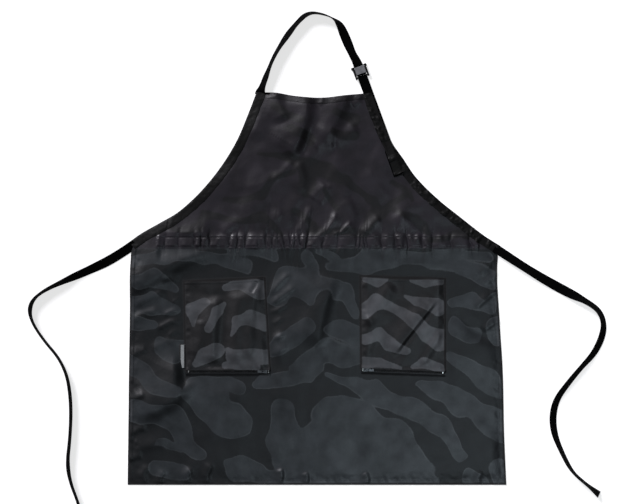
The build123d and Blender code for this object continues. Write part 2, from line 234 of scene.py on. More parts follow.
# How wide each tape looks from above as it rolls on to its edge: share of its length, millimetres.
TIE_RIGHT_LOOKS = [
    (0, 17), (0.04, 16.5), (0.115, 15.5), (0.18, 17.5), (0.25, 18), (0.277, 16), (0.303, 11.2),
    (0.333, 9.2), (0.365, 9), (0.4, 9.4), (0.43, 11.3), (0.46, 11.7), (0.5, 10.5), (0.545, 8.2), (0.6, 9),
    (0.637, 9.8), (0.685, 11.8), (0.725, 12.3), (0.762, 11.5), (0.8, 9), (0.838, 7.4), (0.88, 6),
    (0.9, 4.5), (0.93, 4.3), (0.96, 5.2), (0.985, 9), (1, 12),
]
TIE_LEFT_LOOKS = [
    (0, 18), (0.04, 17.8), (0.11, 17.7), (0.155, 15.5), (0.195, 13.8), (0.23, 9.9), (0.26, 6.8),
    (0.285, 5.5), (0.32, 4.1), (0.35, 6.5), (0.365, 7), (0.39, 4.5), (0.43, 3.5), (0.47, 3.6),
    (0.53, 3.8), (0.58, 4.4), (0.63, 5.1), (0.69, 5.1), (0.76, 4.8), (0.83, 5.5), (0.86, 6.2), (0.9, 4.6),
    (0.955, 4), (1, 5),
]
NECK_LOOKS = [
    (0, 20), (0.014, 19.5), (0.035, 13), (0.055, 10.5), (0.1, 9.3), (0.155, 5.6), (0.22, 5.5),
    (0.285, 6.7), (0.345, 9.7), (0.38, 9.7), (0.415, 7.9), (0.455, 7.5), (0.475, 8), (0.505, 7),
    (0.545, 4), (0.58, 2.5), (0.6, 2), (0.66, 2), (0.675, 5), (0.69, 9), (0.73, 15), (0.81, 17.3),
    (0.875, 14.4), (0.93, 17), (0.97, 20), (1, 20),
]
TIE_LIFT = [(0, 0), (1, 0)]
NECK_LIFT = [(0, 0), (0.5, 0), (0.88, 0), (0.955, 1.5), (1, 1.5)]  # over the bib and the buckle
EDGE_LOSS = 1.5  # what the pale floor eats of a tape's outline, in millimetres

# ---- cloth, in millimetres ----------------------------------------------------------
HEM_Y = -402.0
TOP_Y = 402.0
LEFT_EDGE = [(-402, -388), (-228, -385.8), (-64, -383.6), (60, -381.2), (76, -380),
             (92, -373), (109, -364), (132.4, -326), (153.3, -289.5), (179.4, -258),
             (218.7, -221), (260.6, -189.6), (305, -163.5), (354.7, -142.4), (402, -124)]
RIGHT_EDGE = [(-402, 388), (-297, 383.5), (-166, 380.5), (-62, 374), (50, 369.5), (66, 370.5),
              (85, 368), (104, 345), (140.2, 301.6), (182, 249.3), (234.3, 198), (263, 178.8),
              (299.7, 153.5), (341.5, 134.3), (402, 111.5)]
BIB_TOP = [(-124, 402), (-83, 401), (-45, 394.4), (13, 391.1), (66, 397), (93, 399.5), (112, 402)]
LOWEST_TOP = 1.25  # the body cloth's upper face where it lies flattest
CLOTH = 0.55
HEM_DEPTH = 9.0
BAND = (84.7, 107.0)
BAND_X = (-322.0, 311.0)
CLOTH_SHARP = 60  # degrees between faces that show as a crease
BODY_COLUMNS = 481
POCKET_COLUMNS = 141
POCKET_ROWS = 151
BINDING_STEPS = 301
FACING_STEPS = 161

# The waist fold's line, in metres.
FOLD_START = (0, 0.1000, 0.001)
FOLD_END = (0, 0.1162, 0.001)

POCKETS = {
    "left": {"mouth": ((-273.0, 15.8), (-107.0, 23.6)), "foot": ((-269.5, -167.0), (-96.0, -167.0)),
             "zip": (-182.5, -169.5, 0.0)},
    "right": {"mouth": ((88.6, 26.2), (262.4, 20.9)), "foot": ((90.0, -163.3), (263.0, -169.6)),
              "zip": (177.0, -168.9, -2.1)},
}
BINDING_WIDTH = 19.5
LEFT_BINDING = [(-384, 96), (-364, 110.5), (-326, 132.4), (-289.5, 153.3), (-258, 179.4), (-221, 218.7),
                (-189.6, 260.6), (-163.5, 305), (-142.4, 354.7), (-124, 402), (-114, 428)]
RIGHT_BINDING = [(375, 88), (345, 107), (301.6, 140.2), (249.3, 182), (198, 234.3), (178.8, 263),
                 (153.5, 299.7), (134.3, 341.5), (111.5, 402), (101.7, 428)]
FACING_WIDTH = 13.0
LABEL_X = (-282.6, -269.6)
LABEL_Y = (-163.5, -113.5)

# ---- buckle, zips and stitches, in millimetres and degrees -------------------------------
BUCKLE_CENTRE = np.array([89.4, 444.0])
BUCKLE_SLOPE = math.radians(20.1)
DOWN_STRAP = np.array([math.sin(BUCKLE_SLOPE), -math.cos(BUCKLE_SLOPE)])
ACROSS_STRAP = np.array([-DOWN_STRAP[1], DOWN_STRAP[0]])
LOOP_START = 10.1  # how far below the buckle's middle the webbing turns round its bar
ANCHOR_END = 226.0
ZIP_HALF_LENGTH = 85.5
COIL_HALF_LENGTH = 79.0
COIL_PITCH = 1.35
COIL_THREAD = 0.26
LOOP_STEPS = 12
TUBE_STEPS = 6
STITCH = 2.3
STITCH_STEP = 3.1
STITCH_SHARES = np.array([0, 0.18, 0.5, 0.82, 1])
STITCH_GIRTHS = np.array([0.25, 0.85, 1, 0.85, 0.25]) * 0.2
STITCH_SINKS = np.array([-0.32, 0.0, 0.08, 0.0, -0.32])

# ---- camouflage, as tapered strokes in millimetres: x, y and radius of each point ----------
SKIRT_LOBES = [
    (-70, -250, 22, -60, -345, 30), (20, -262, 30, 84, -268, 34, 120, -330, 58),
    (0, -340, 62, 150, -350, 58), (150, -310, 42, 196, -372, 40), (-170, -384, 16, 230, -394, 14),
    (-180, -364, 10, -120, -372, 16), (-250, -214, 18, -222, -236, 30, -164, -282, 28),
    (-380, -246, 20, -296, -264, 22, -244, -340, 13), (-330, -318, 3, -276, -330, 8),
    (-326, -372, 12, -284, -382, 16), (-252, -186, 5, -166, -204, 12),
    (-122, -198, 8, -104, -188, 13, -24, -178, 15, 12, -158, 8),
    (-40, -156, 6, 26, -128, 17, 88, -136, 15), (-84, -118, 12, -62, -104, 18, -20, -76, 20),
    (34, -84, 14, 84, -92, 18), (-92, -24, 9, -74, -6, 18, -54, 18, 28, -16, 14, 24),
    (-16, 14, 20, -8, -18, 5), (14, 18, 6, 48, -10, 16, 80, -44, 11),
    (24, 46, 5, 96, 54, 20, 196, 60, 13, 292, 44, 11, 352, 24, 14), (240, 76, 6, 340, 66, 10),
    (-366, 52, 9, -300, 62, 14, -214, 60, 12, -140, 40, 11), (-170, 74, 6, -90, 66, 9),
    (-384, -34, 9, -336, -28, 14, -292, -42, 9), (-384, -66, 14, -336, -70, 8),
    (-326, -114, 11, -286, -128, 15), (-384, -150, 12, -340, -186, 16, -286, -206, 10),
    (-384, 12, 8, -330, 16, 12, -290, 6, 6),
    (28, -178, 3, 108, -210, 19, 186, -244, 17, 250, -280, 18, 290, -348, 9),
    (214, -196, 5, 246, -212, 15, 306, -246, 22, 366, -284, 26),
    (282, -144, 9, 346, -190, 19, 372, -212, 10), (278, -32, 11, 308, -22, 15, 344, -42, 8, 358, -14, 10),
    (278, -82, 14, 322, -90, 12), (362, -76, 14, 374, -112, 7), (364, -362, 17, 382, -392, 20),
    (304, -394, 12, 332, -400, 12), (-18, 66, 8, 2, 30, 3), (8, 76, 5, 34, 62, 7),
]
BIB_CHANNELS = [
    (-190, 188, 6, -120, 186, 8, -96, 224, 7, -48, 240, 6),
    (-128, 276, 5, -60, 268, 8, -20, 250, 14, -26, 190, 5),
    (-10, 250, 12, 66, 228, 8, 112, 182, 8, 138, 148, 6), (186, 190, 5, 128, 148, 12, 84, 108, 8),
    (160, 158, 5, 226, 126, 8), (-228, 148, 7, -110, 144, 10, -76, 112, 6), (8, 214, 5, 44, 166, 7),
    (150, 214, 5, 196, 178, 6), (-300, 122, 6, -236, 134, 8), (230, 108, 7, 300, 116, 8),
    (-40, 160, 6, -6, 132, 7), (-60, 330, 8, -16, 300, 12), (30, 330, 6, 84, 316, 10),
    (-90, 372, 8, -40, 352, 12), (40, 372, 8, 80, 350, 12), (-16, 120, 8, 70, 118, 8),
]
POCKET_LOBES = {
    "left": [
        (-184, 4, 6, -150, 9, 13, -117, -2, 20), (-255, -43, 14, -228, -29, 8),
        (-255, -46, 12, -251, -76, 2), (-224, -82, 6, -208, -50, 9, -190, -31, 3),
        (-178, -95, 2, -164, -64, 11, -140, -58, 14, -104, -73, 15),
        (-246, -156, 5, -226, -136, 15, -210, -126, 17), (-185, -126, 4, -175, -140, 12, -99, -137, 13),
        (-190, -160, 6, -120, -158, 6),
    ],
    "right": [
        (100, 16, 5, 125, 13, 11, 141, 18, 5), (196, 18, 4, 222, 15, 9, 254, 18, 5),
        (95, -46, 14, 122, -29, 14, 148, -35, 8, 178, -50, 9, 201, -68, 12, 224, -92, 16, 252, -106, 24),
        (183, -15, 2, 207, -27, 8, 244, -35, 18),
        (95, -101, 10, 125, -91, 11, 148, -112, 13, 182, -129, 8),
        (95, -153, 12, 128, -152, 8, 172, -165, 2), (196, -164, 3, 218, -155, 10, 256, -168, 8),
    ],
}

# ---- folds, in millimetres: height, width of the lit and the shaded side, then x and y of
# each point from below to above -----------------------------------------------------------
SKIRT_FOLDS = [
    (13.5, 58, 17, -384, -262, -330, -246, -292, -222, -264, -188, -246, -140),
    (13, 46, 20, -400, -20, -360, 10, -320, 36, -282, 60, -240, 80, -190, 90),
    (4.4, 8, 9, -378, -36, -344, -18, -306, -4), (3.0, 8, 8, -386, -68, -352, -50, -318, -44),
    (1.8, 6, 5, -322, 18, -300, 22, -278, 14), (2.2, 5, 4, -316, -56, -296, -46, -270, -44),
    (2.6, 5, 5, -330, -84, -300, -68, -268, -68), (1.5, 5, 4, -308, -98, -290, -88, -268, -90),
    (2.0, 8, 6, -344, -126, -304, -108, -270, -112), (1.6, 4, 4, -298, -30, -284, -22, -268, -22),
    (2.6, 8, 5, -110, -18, -86, 0, -52, 36), (2.8, 8, 5, -108, -36, -78, -22, -40, 8),
    (1.7, 5, 4, -106, -50, -80, -44, -58, -30), (1.3, 5, 4, -108, -70, -88, -70, -66, -60),
    (2.5, 6, 4, -104, -118, -88, -102, -62, -94), (1.6, 7, 5, -104, -136, -84, -132, -56, -116),
    (9.0, 44, 15, -6, -130, 4, -70, 16, -20, 34, 30), (1.2, 8, 6, 24, -156, 22, -138, 6, -118),
    (-2.6, 10, 12, 262, -40, 300, -66, 340, -96, 384, -124), (2.8, 9, 5, 322, -44, 346, -20, 372, -2),
    (2.2, 8, 5, 336, -88, 360, -72, 382, -62), (2.6, 9, 6, 342, 8, 360, 22, 376, 40),
    (2.0, 9, 6, 330, 26, 352, 46, 362, 66), (4.2, 8, 4, -76, -400, -72, -384, -74, -366),
    (3.2, 8, 4, -22, -400, -20, -388, -22, -374), (3.2, 8, 4, 102, -402, 104, -388, 98, -374),
    (3.6, 9, 5, -222, -402, -226, -382, -214, -356), (3.4, 8, 5, -262, -402, -266, -384, -256, -366),
    (3.2, 8, 5, -318, -402, -322, -388, -310, -372), (2.6, 8, 5, -352, -402, -356, -380, -344, -360),
    (2.6, 8, 5, 332, -402, 330, -388, 338, -372), (1.1, 26, 20, 36, -330, 44, -290, 52, -250),
    (1.3, 24, 16, 92, -330, 98, -280, 94, -230), (1.2, 18, 12, -82, -360, -84, -330, -72, -300),
    (2.4, 8, 5, -386, -300, -366, -288, -346, -284), (2.6, 8, 5, -386, -230, -368, -222, -350, -214),
    (2.2, 8, 5, -388, -352, -370, -344, -356, -340), (2.2, 8, 5, -384, -140, -364, -128, -346, -124),
    (2.0, 14, 8, -384, -330, -340, -320, -300, -316),
]
BIB_FOLDS = [
    (12.0, 32, 14, -66, 262, -46, 290, -32, 322, -24, 356, -20, 412),
    (6.5, 18, 11, -66, 340, -76, 368, -90, 410),
    (9.0, 28, 14, 10, 296, 24, 322, 40, 352, 54, 384, 60, 410),
    (-2.4, 10, 8, -30, 268, -22, 300, -18, 330), (4.4, 16, 12, 30, 298, 56, 312, 86, 334),
    (3.6, 14, 10, -10, 290, 14, 300, 40, 296), (2.4, 20, 16, 130, 108, 160, 130, 190, 160),
    (3.4, 9, 7, 92, 108, 110, 128, 130, 150), (2.2, 8, 6, -96, 218, -70, 238, -46, 268),
    (3.0, 12, 9, -34, 190, -28, 226, -42, 266), (2.8, 6, 5, 2, 102, 18, 118, 34, 138, 40, 162),
    (2.6, 4, 4, 30, 108, 50, 116, 66, 132, 68, 142), (2.6, 7, 6, -38, 108, -26, 138, -10, 172),
    (3.0, 10, 7, 2, 170, 16, 190, 26, 218), (2.6, 14, 9, -60, 120, -54, 160, -28, 200),
    (3.0, 10, 7, -12, 180, 2, 200, 20, 216), (2.4, 12, 8, -96, 110, -92, 140, -66, 160),
    (2.4, 12, 8, -200, 112, -180, 126, -150, 140), (2.4, 12, 8, 206, 112, 180, 136, 160, 160),
    (3.0, 14, 9, 66, 108, 74, 150, 60, 190), (2.6, 8, 6, 72, 372, 84, 384, 88, 398),
    (1.6, 8, 5, 2, 376, 10, 384, 14, 392), (1.8, 16, 9, -176, 208, -120, 216, -86, 228),
    (1.8, 16, 10, 120, 290, 96, 316, 70, 350), (1.8, 18, 10, 150, 180, 120, 210, 100, 250),
]
POCKET_FOLDS = {
    "left": [
        (5.4, 20, 18, -172, -158, -166, -90, -158, 4), (6.0, 26, 14, -214, -158, -214, -90, -206, -10),
        (4.0, 16, 12, -142, -150, -136, -70, -126, 16), (-1.8, 5, 5, -136, -10, -126, 6, -122, 16),
        (1.4, 12, 8, -250, -140, -238, -100, -240, -60),
    ],
    "right": [
        (5.6, 24, 7, 154, -136, 200, -77, 247, -18), (2.8, 7, 20, 171, -139, 214, -84, 258, -29),
        (3.6, 18, 16, 98, -76, 126, -34, 160, 10), (1.2, 12, 8, 104, -140, 112, -100, 106, -50),
        (2.6, 10, 9, 214, -158, 236, -120, 258, -84),
    ],
}


def add_camera():
    camera = bpy.data.objects.new("camera", bpy.data.cameras.new("camera"))
    camera.data.sensor_width = SENSOR
    camera.data.lens = SENSOR * CAMERA_HEIGHT / VIEW_WIDTH
    camera.location = (*VIEW_MIDDLE, CAMERA_HEIGHT)
    bpy.context.collection.objects.link(camera)
    bpy.context.scene.camera = camera


# ---- small mathematics ---------------------------------------------------------------
def smooth(t):
    t = np.clip(t, 0, 1)
    return t * t * (3 - 2 * t)


def rise(value, low, high):
    """0 below low, 1 above high, smooth between."""
    return smooth((value - low) / (high - low))


def bump(distance, width):
    return np.exp(-(distance / width) ** 2)


def lattice_noise(x, y, cell, seed):
    """Smooth noise from -1 to 1, with features about one cell apart."""
    size = 64
    values = np.random.default_rng(seed).uniform(-1, 1, (size, size))
    gx, gy = np.asarray(x) / cell + 1000, np.asarray(y) / cell + 1000
    ix, iy = np.floor(gx).astype(int), np.floor(gy).astype(int)
    fx, fy = smooth(gx - ix), smooth(gy - iy)
    ax, bx, ay, by = ix % size, (ix + 1) % size, iy % size, (iy + 1) % size
    low = values[ax, ay] * (1 - fx) + values[bx, ay] * fx
    high = values[ax, by] * (1 - fx) + values[bx, by] * fx
    return low * (1 - fy) + high * fy


def layered_noise(x, y, cell, seed):
    """Lattice noise, with a layer half as wide and half as strong added."""
    return lattice_noise(x, y, cell, seed) + lattice_noise(x, y, cell / 2, seed + 1) / 2


def turns(count):
    """Angles evenly round a circle."""
    return np.linspace(0, 2 * math.pi, count + 1)[:-1]


def distances(points):
    """How far along a run of points each of them lies."""
    return np.concatenate([[0], np.cumsum(np.linalg.norm(np.diff(points, axis=0), axis=1))])


def unit(vectors):
    return vectors / np.linalg.norm(vectors, axis=1, keepdims=True)


def flat_vectors(first, second):
    """Vectors in the plane of the cloth, their third number 0."""
    first, second = np.broadcast_arrays(first, second)
    return np.stack([first, second, np.zeros(first.shape)], -1)


def in_groups(row, size):
    """The numbers of a row, size at a time."""
    return [row[k:k + size] for k in range(0, len(row), size)]


def through(points, at):
    """Smooth curve through (key, value) points: a cubic with the slopes of its neighbours."""
    keys = np.array([p[0] for p in points], float)
    values = np.array([p[1] for p in points], float)
    slopes = np.gradient(values, keys)
    at = np.clip(at, keys[0], keys[-1])
    i = np.clip(np.searchsorted(keys, at) - 1, 0, len(keys) - 2)
    span = keys[i + 1] - keys[i]
    t = (at - keys[i]) / span
    return ((2 * t ** 3 - 3 * t ** 2 + 1) * values[i] + (t ** 3 - 2 * t ** 2 + t) * span * slopes[i]
            + (-2 * t ** 3 + 3 * t ** 2) * values[i + 1] + (t ** 3 - t ** 2) * span * slopes[i + 1])


def along_path(x, y, points):
    """Distance from a run of points, share of the way along it, and which side (right is positive)."""
    best = np.full(np.shape(x), 1e9)
    share = np.zeros(np.shape(x))
    side = np.zeros(np.shape(x))
    lengths = [math.dist(a, b) for a, b in zip(points, points[1:])]
    done = 0
    for (ax, ay), (bx, by), length in zip(points, points[1:], lengths):
        dx, dy = (bx - ax) / length, (by - ay) / length
        t = np.clip((x - ax) * dx + (y - ay) * dy, 0, length)
        away = np.hypot(x - ax - t * dx, y - ay - t * dy)
        nearer = away < best
        best = np.where(nearer, away, best)
        share = np.where(nearer, (done + t) / sum(lengths), share)
        side = np.where(nearer, np.sign((x - ax) * dy - (y - ay) * dx), side)
        done += length
    return best, share, side


def fold(x, y, points, height, lit, shaded, ends):
    """A ridge along points: lit wide on their left, shaded wide on their right, fading at both ends."""
    away, share, side = along_path(x, y, points)
    fade = smooth(share / ends) * smooth((1 - share) / ends)
    return height * fade * bump(away, np.where(side > 0, shaded, lit))


# ---- camouflage and the height of the cloth ---------------------------------------------


def warp(x, y, seed, amount):
    return (x + amount * layered_noise(x, y, 52, seed), y + amount * layered_noise(x, y, 52, seed + 9))


def strokes_field(x, y, strokes, melt):
    """Distance outside the nearest stroke, below 0 inside, with neighbours melting together."""
    total = np.zeros(np.shape(x))
    for stroke in strokes:
        knots = in_groups(stroke, 3)
        for (ax, ay, ar), (bx, by, br) in zip(knots, knots[1:]):
            length2 = (bx - ax) ** 2 + (by - ay) ** 2
            t = np.clip(((x - ax) * (bx - ax) + (y - ay) * (by - ay)) / length2, 0, 1)
            away = np.hypot(x - ax - t * (bx - ax), y - ay - t * (by - ay)) - ar - t * (br - ar)
            total += np.exp(-np.maximum(away, -60) / melt)
    return -melt * np.log(total + 1e-12)


def body_camo(x, y):
    """Camouflage field of the body cloth: light where it is below 0, in millimetres."""
    wx, wy = warp(x, y, 31, 10)
    skirt = strokes_field(wx, wy, SKIRT_LOBES, 3.0) - 3.5
    bib = -strokes_field(wx, wy, BIB_CHANNELS, 3.5)
    over = rise(y, 79, 84)
    return skirt * (1 - over) + np.clip(bib * 0.35, -20, 20) * over


def pocket_camo(x, y, side):
    wx, wy = warp(x, y, 57, 4)
    return strokes_field(wx, wy, POCKET_LOBES[side], 2.0) - 1.0


def gathers(x, y):
    """Puckers that the elastic draws up: pillows between sharp creases, fading as they leave the band."""
    rng = np.random.default_rng(11)
    creases = [BAND_X[0] - 6]
    while creases[-1] < BAND_X[1] + 6:
        place = creases[-1]
        close = (5, 9) if 54 < place < 100 else (8, 16) if -112 < place < -28 else (13, 44)
        creases.append(place + rng.uniform(*close))
    creases = np.array(creases)
    count = len(creases) - 1
    wide = np.diff(creases)
    tall = np.clip(wide * 0.2, 1.2, 3.1) * rng.uniform(0.75, 1.15, count)
    up, down = rng.uniform(5, 30, count), rng.uniform(4, 22, count)
    lean = rng.normal(0, 0.22, count)
    height = np.zeros(np.shape(x))
    near = (y > BAND[0] - 90) & (y < BAND[1] + 110) & (x > creases[0]) & (x < creases[-1])
    px, py = x[near], y[near]
    above, below = np.clip(py - BAND[1], 0, None), np.clip(BAND[0] - py, 0, None)
    wander = px + 1.6 * lattice_noise(px, py, 11, 14) - 0.10 * above + 0.06 * below
    i = np.clip(np.searchsorted(creases, wander) - 1, 0, count - 1)
    wander = wander - lean[i] * (py - sum(BAND) / 2) * 0.6
    i = np.clip(np.searchsorted(creases, wander) - 1, 0, count - 1)
    t = np.clip((wander - creases[i]) / wide[i], 0, 1)
    pillow = 1 - np.abs(2 * t - 1) ** 3.2
    slack = 1 + 0.35 * lattice_noise(px, py * 0.6, 9, 17)
    height[near] = tall[i] * pillow * slack * np.exp(-above / up[i] - below / down[i])
    height = height * (1 - 0.75 * rise(BAND[0] + 5 - y, 0, 9) * rise(-170 - x, 0, 50))
    stitched = bump(y - BAND[0] - 1.5, 1.7) + bump(y - BAND[1] + 1.5, 1.7)
    outside = rise(BAND[0] - y, 0, 4) + rise(y - BAND[1], 0, 4)
    return height * (1 - 0.27 * stitched) * (1 - 0.2 * outside)


def edge_distance(x, y):
    """Millimetres in from the skirt's side and bottom hems."""
    left = x - through(LEFT_EDGE, y)
    right = through(RIGHT_EDGE, y) - x
    return np.minimum(np.minimum(left, right), y - HEM_Y)


def pocket_place(side, x, y):
    """Share across a pocket, and share up it."""
    (mlx, mly), (mrx, mry) = POCKETS[side]["mouth"]
    (flx, fly), (frx, fry) = POCKETS[side]["foot"]
    across = (x - flx) / (frx - flx)
    foot = fly + across * (fry - fly)
    mouth = mly + across * (mry - mly)
    up = (y - foot) / (mouth - foot)
    left, right = flx + up * (mlx - flx), frx + up * (mrx - frx)
    return (x - left) / (right - left), up


def under_pocket(x, y):
    """1 under a pocket and its zip, where the body cloth lies flat, falling to 0 outside."""
    total = np.zeros(np.shape(x))
    for side in POCKETS:
        across, up = pocket_place(side, x, y)
        inside = rise(across, -0.15, 0.0) * rise(1 - across, -0.15, 0.0)
        total = np.maximum(total, inside * rise(up, -0.30, -0.07) * rise(1 - up, -0.16, 0.02))
    return total


def pocket_shade(x, y):
    """Painted shade: 1 on the body cloth close around a pocket's sewn sides and mouth."""
    shade = np.zeros_like(x)
    for side, pocket in POCKETS.items():
        across, up = pocket_place(side, x, y)
        wide = pocket["mouth"][1][0] - pocket["mouth"][0][0]
        tall = pocket["mouth"][0][1] - pocket["foot"][0][1]
        outside = np.maximum(np.abs(across - 0.5) - 0.5, 0) * wide
        outside = np.hypot(outside, np.maximum(np.abs(up - 0.5) - 0.5, 0) * tall)
        shade = np.maximum(shade, 1 - rise(outside, 0.8, 3.2))
    return shade


def body_height(x, y):
    """Height of the body cloth's upper face, in millimetres."""
    x, y = np.asarray(x, float), np.asarray(y, float)
    inward = edge_distance(x, y)
    on_bib = rise(y, 112, 150)
    root = bump(np.hypot(x + 377, y - 88), 17) + bump(np.hypot(x - 373, y - 79), 17)
    root = root + bump(np.hypot(x + 118, y - 398), 15)
    soft = 1.5 + 1.7 * layered_noise(x, y, 110, 3) + 0.9 * layered_noise(x, y, 40, 8)
    bib_waves = 0.8 + 2.6 * lattice_noise(x, y * 0.8, 46, 25) + 0.5 * lattice_noise(x, y, 19, 27)
    soft = soft + on_bib * bib_waves
    height = 0.6 * np.log1p(np.exp(soft / 0.6)) * rise(inward, -2, 30) * rise(402 - y, -4, 30)
    for tall, lit, shaded, *row in SKIRT_FOLDS + BIB_FOLDS:
        height = height + fold(x, y, in_groups(row, 2), tall * 0.75, lit * 1.25, shaded * 1.1, 0.24)
    in_band = rise(y, BAND[0] - 36, BAND[0] + 3) * rise(BAND[1] + 10 - y, 0, 14)
    in_band = in_band * rise(x, BAND_X[0] - 8, BAND_X[0] + 4) * rise(BAND_X[1] + 8 - x, 0, 12)
    height = height * (1 - 0.75 * in_band) + 1.7 * in_band + gathers(x, y)
    ripple = 0.45 * lattice_noise(x + y * 0.35, y - x * 0.2, 8, 21)
    hem = 1 - rise(inward, HEM_DEPTH - 1, HEM_DEPTH + 1)
    height = height + (0.5 + ripple * 0.6) * hem * (y < 90)
    height = height + ripple * bump(inward - HEM_DEPTH - 4, 9) * (y < 90)
    flat = under_pocket(x, y)
    height = np.clip(height, 0, None) * (1 - flat) + 1.3 * root
    return LOWEST_TOP + height


# ---- meshes ---------------------------------------------------------------------------
def link_mesh(name, verts, faces, values=None, sharp=40):
    """A smooth mesh piece; values are named numbers or vectors, one for each vertex."""
    mesh = bpy.data.meshes.new(name)
    mesh.from_pydata(np.asarray(verts).tolist(), [], faces)
    for label, data in (values or {}).items():
        data = np.asarray(data, np.float32)
        kind, key = ("FLOAT", "value") if data.ndim == 1 else ("FLOAT_VECTOR", "vector")
        mesh.attributes.new(label, kind, "POINT").data.foreach_set(key, data.ravel())
    mesh.polygons.foreach_set("use_smooth", [True] * len(mesh.polygons))
    mesh.validate()
    mesh.set_sharp_from_angle(angle=math.radians(sharp))
    piece = bpy.data.objects.new(name, mesh)
    bpy.context.collection.objects.link(piece)
    return piece


def grid_loop(at):
    """The indices around the border of a grid."""
    return np.concatenate([at[0, :-1], at[:-1, -1], at[-1, :0:-1], at[:0:-1, 0]])


def grid_quads(at):
    return np.stack([at[:-1, :-1], at[:-1, 1:], at[1:, 1:], at[1:, :-1]], -1).reshape(-1, 4)


def thick_sheet(name, x, y, z, thick, camo=None, tone_and_painted_light=None, weave=None):
    """A closed sheet under a grid of points in millimetres, with odd numbers of rows and columns.

    Its lower face has half the rows and columns, and keeps below every hollow of the upper one.
    """
    camo = np.zeros(z.shape) if camo is None else camo
    tone_and_painted_light = np.zeros((*z.shape, 3)) if tone_and_painted_light is None else tone_and_painted_light
    bordered = np.pad(z, 1, mode="edge")
    rows, columns = z.shape
    nearby = [bordered[i:i + rows, j:j + columns] for i in range(3) for j in range(3)]
    deepest = np.clip(np.min(nearby, axis=0) - thick, 0.12, None)
    upper = np.stack([x, y, z], -1)
    lower = np.stack([x, y, deepest], -1)[::2, ::2]
    at = np.arange(z.size).reshape(z.shape)
    below = z.size + np.arange(lower[..., 0].size).reshape(lower.shape[:2])
    over, under = grid_loop(at), grid_loop(below)
    rim = [np.roll(over, -2)[::2], np.roll(over, -1)[::2], over[::2], under, np.roll(under, -1)]
    groups = [grid_quads(at), grid_quads(below)[:, ::-1], np.stack(rim, -1)]
    if np.cross(upper[0, 1] - upper[0, 0], upper[1, 0] - upper[0, 0])[2] < 0:
        groups = [group[:, ::-1] for group in groups]
    faces = [face for group in groups for face in group.tolist()]
    weave = upper * [1, 1, 0] if weave is None else weave
    values = {"weave": weave * MM, "camo": camo, "tone_and_painted_light": tone_and_painted_light}
    both = {}
    for label, grid in values.items():
        flat = (-1,) if grid.ndim == 2 else (-1, grid.shape[-1])
        both[label] = np.concatenate([grid.reshape(flat), grid[::2, ::2].reshape(flat)])
    verts = np.concatenate([upper.reshape(-1, 3), lower.reshape(-1, 3)]) * MM
    return link_mesh(name, verts, faces, both, CLOTH_SHARP)


def loft(name, rings, weave):
    """A closed tube through rings of points, with flat ends."""
    count, around = rings.shape[:2]
    at = np.arange(count * around).reshape(count, around)
    after = np.roll(at, -1, axis=1)
    sides = np.stack([at[:-1], after[:-1], after[1:], at[1:]], -1).reshape(-1, 4)
    faces = sides.tolist() + [at[0][::-1].tolist(), at[-1].tolist()]
    return link_mesh(name, rings.reshape(-1, 3), faces, {"weave": weave.reshape(-1, 3)}, CLOTH_SHARP)


def finish_piece(piece, body, slot, *nodes):
    if body:
        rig.ride(piece, body)
    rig.slot(piece, slot)
    piece.data.materials.append(MATERIALS[slot])
    if nodes:
        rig.replaces(piece, *nodes)
    return piece


# ---- webbing --------------------------------------------------------------------------
def route_line(name, points):
    """Evenly spaced points on the smooth line that a route's points shape."""
    curve = bpy.data.curves.new(name, "CURVE")
    curve.dimensions = "3D"
    spline = curve.splines.new("NURBS")
    spline.points.add(len(points) - 1)
    for knot, (x, y) in zip(spline.points, points):
        knot.co = (x, y, 0, 1)
    spline.order_u = 3
    spline.use_endpoint_u = True
    curve.resolution_u = 24
    holder = bpy.data.objects.new(name, curve)
    line_mesh = bpy.data.meshes.new_from_object(holder)
    line = np.array([v.co[:] for v in line_mesh.vertices])
    bpy.data.objects.remove(holder)
    bpy.data.curves.remove(curve)
    bpy.data.meshes.remove(line_mesh)
    gone = distances(line)
    even = np.linspace(0, gone[-1], round(gone[-1] / ROUTE_STEP) + 1)
    return np.stack([np.interp(even, gone, line[:, k]) for k in range(3)], -1), even


def tucked(line, even, hidden):
    """The same line, started a little earlier so that its end is hidden in the seam."""
    back = line[0] - line[1]
    first = line[0] + back / np.linalg.norm(back) * hidden
    return np.concatenate([[first], line]), np.concatenate([[0], even + hidden])


def tape_section(width, thick, ribs=9):
    """Outline of a flat woven tape, with soft edges and shallow ribs along it."""
    across = np.linspace(-1, 1, ribs)
    edge = np.sqrt(np.clip(1 - (across * 0.96) ** 10, 0, 1))
    ridge = 1 + 0.05 * np.cos(np.arange(ribs) * math.pi)
    upper = np.stack([across * width / 2, edge * ridge * thick / 2], -1)
    lower = upper[::-1] * np.array([1, -1])
    return np.concatenate([upper, lower])


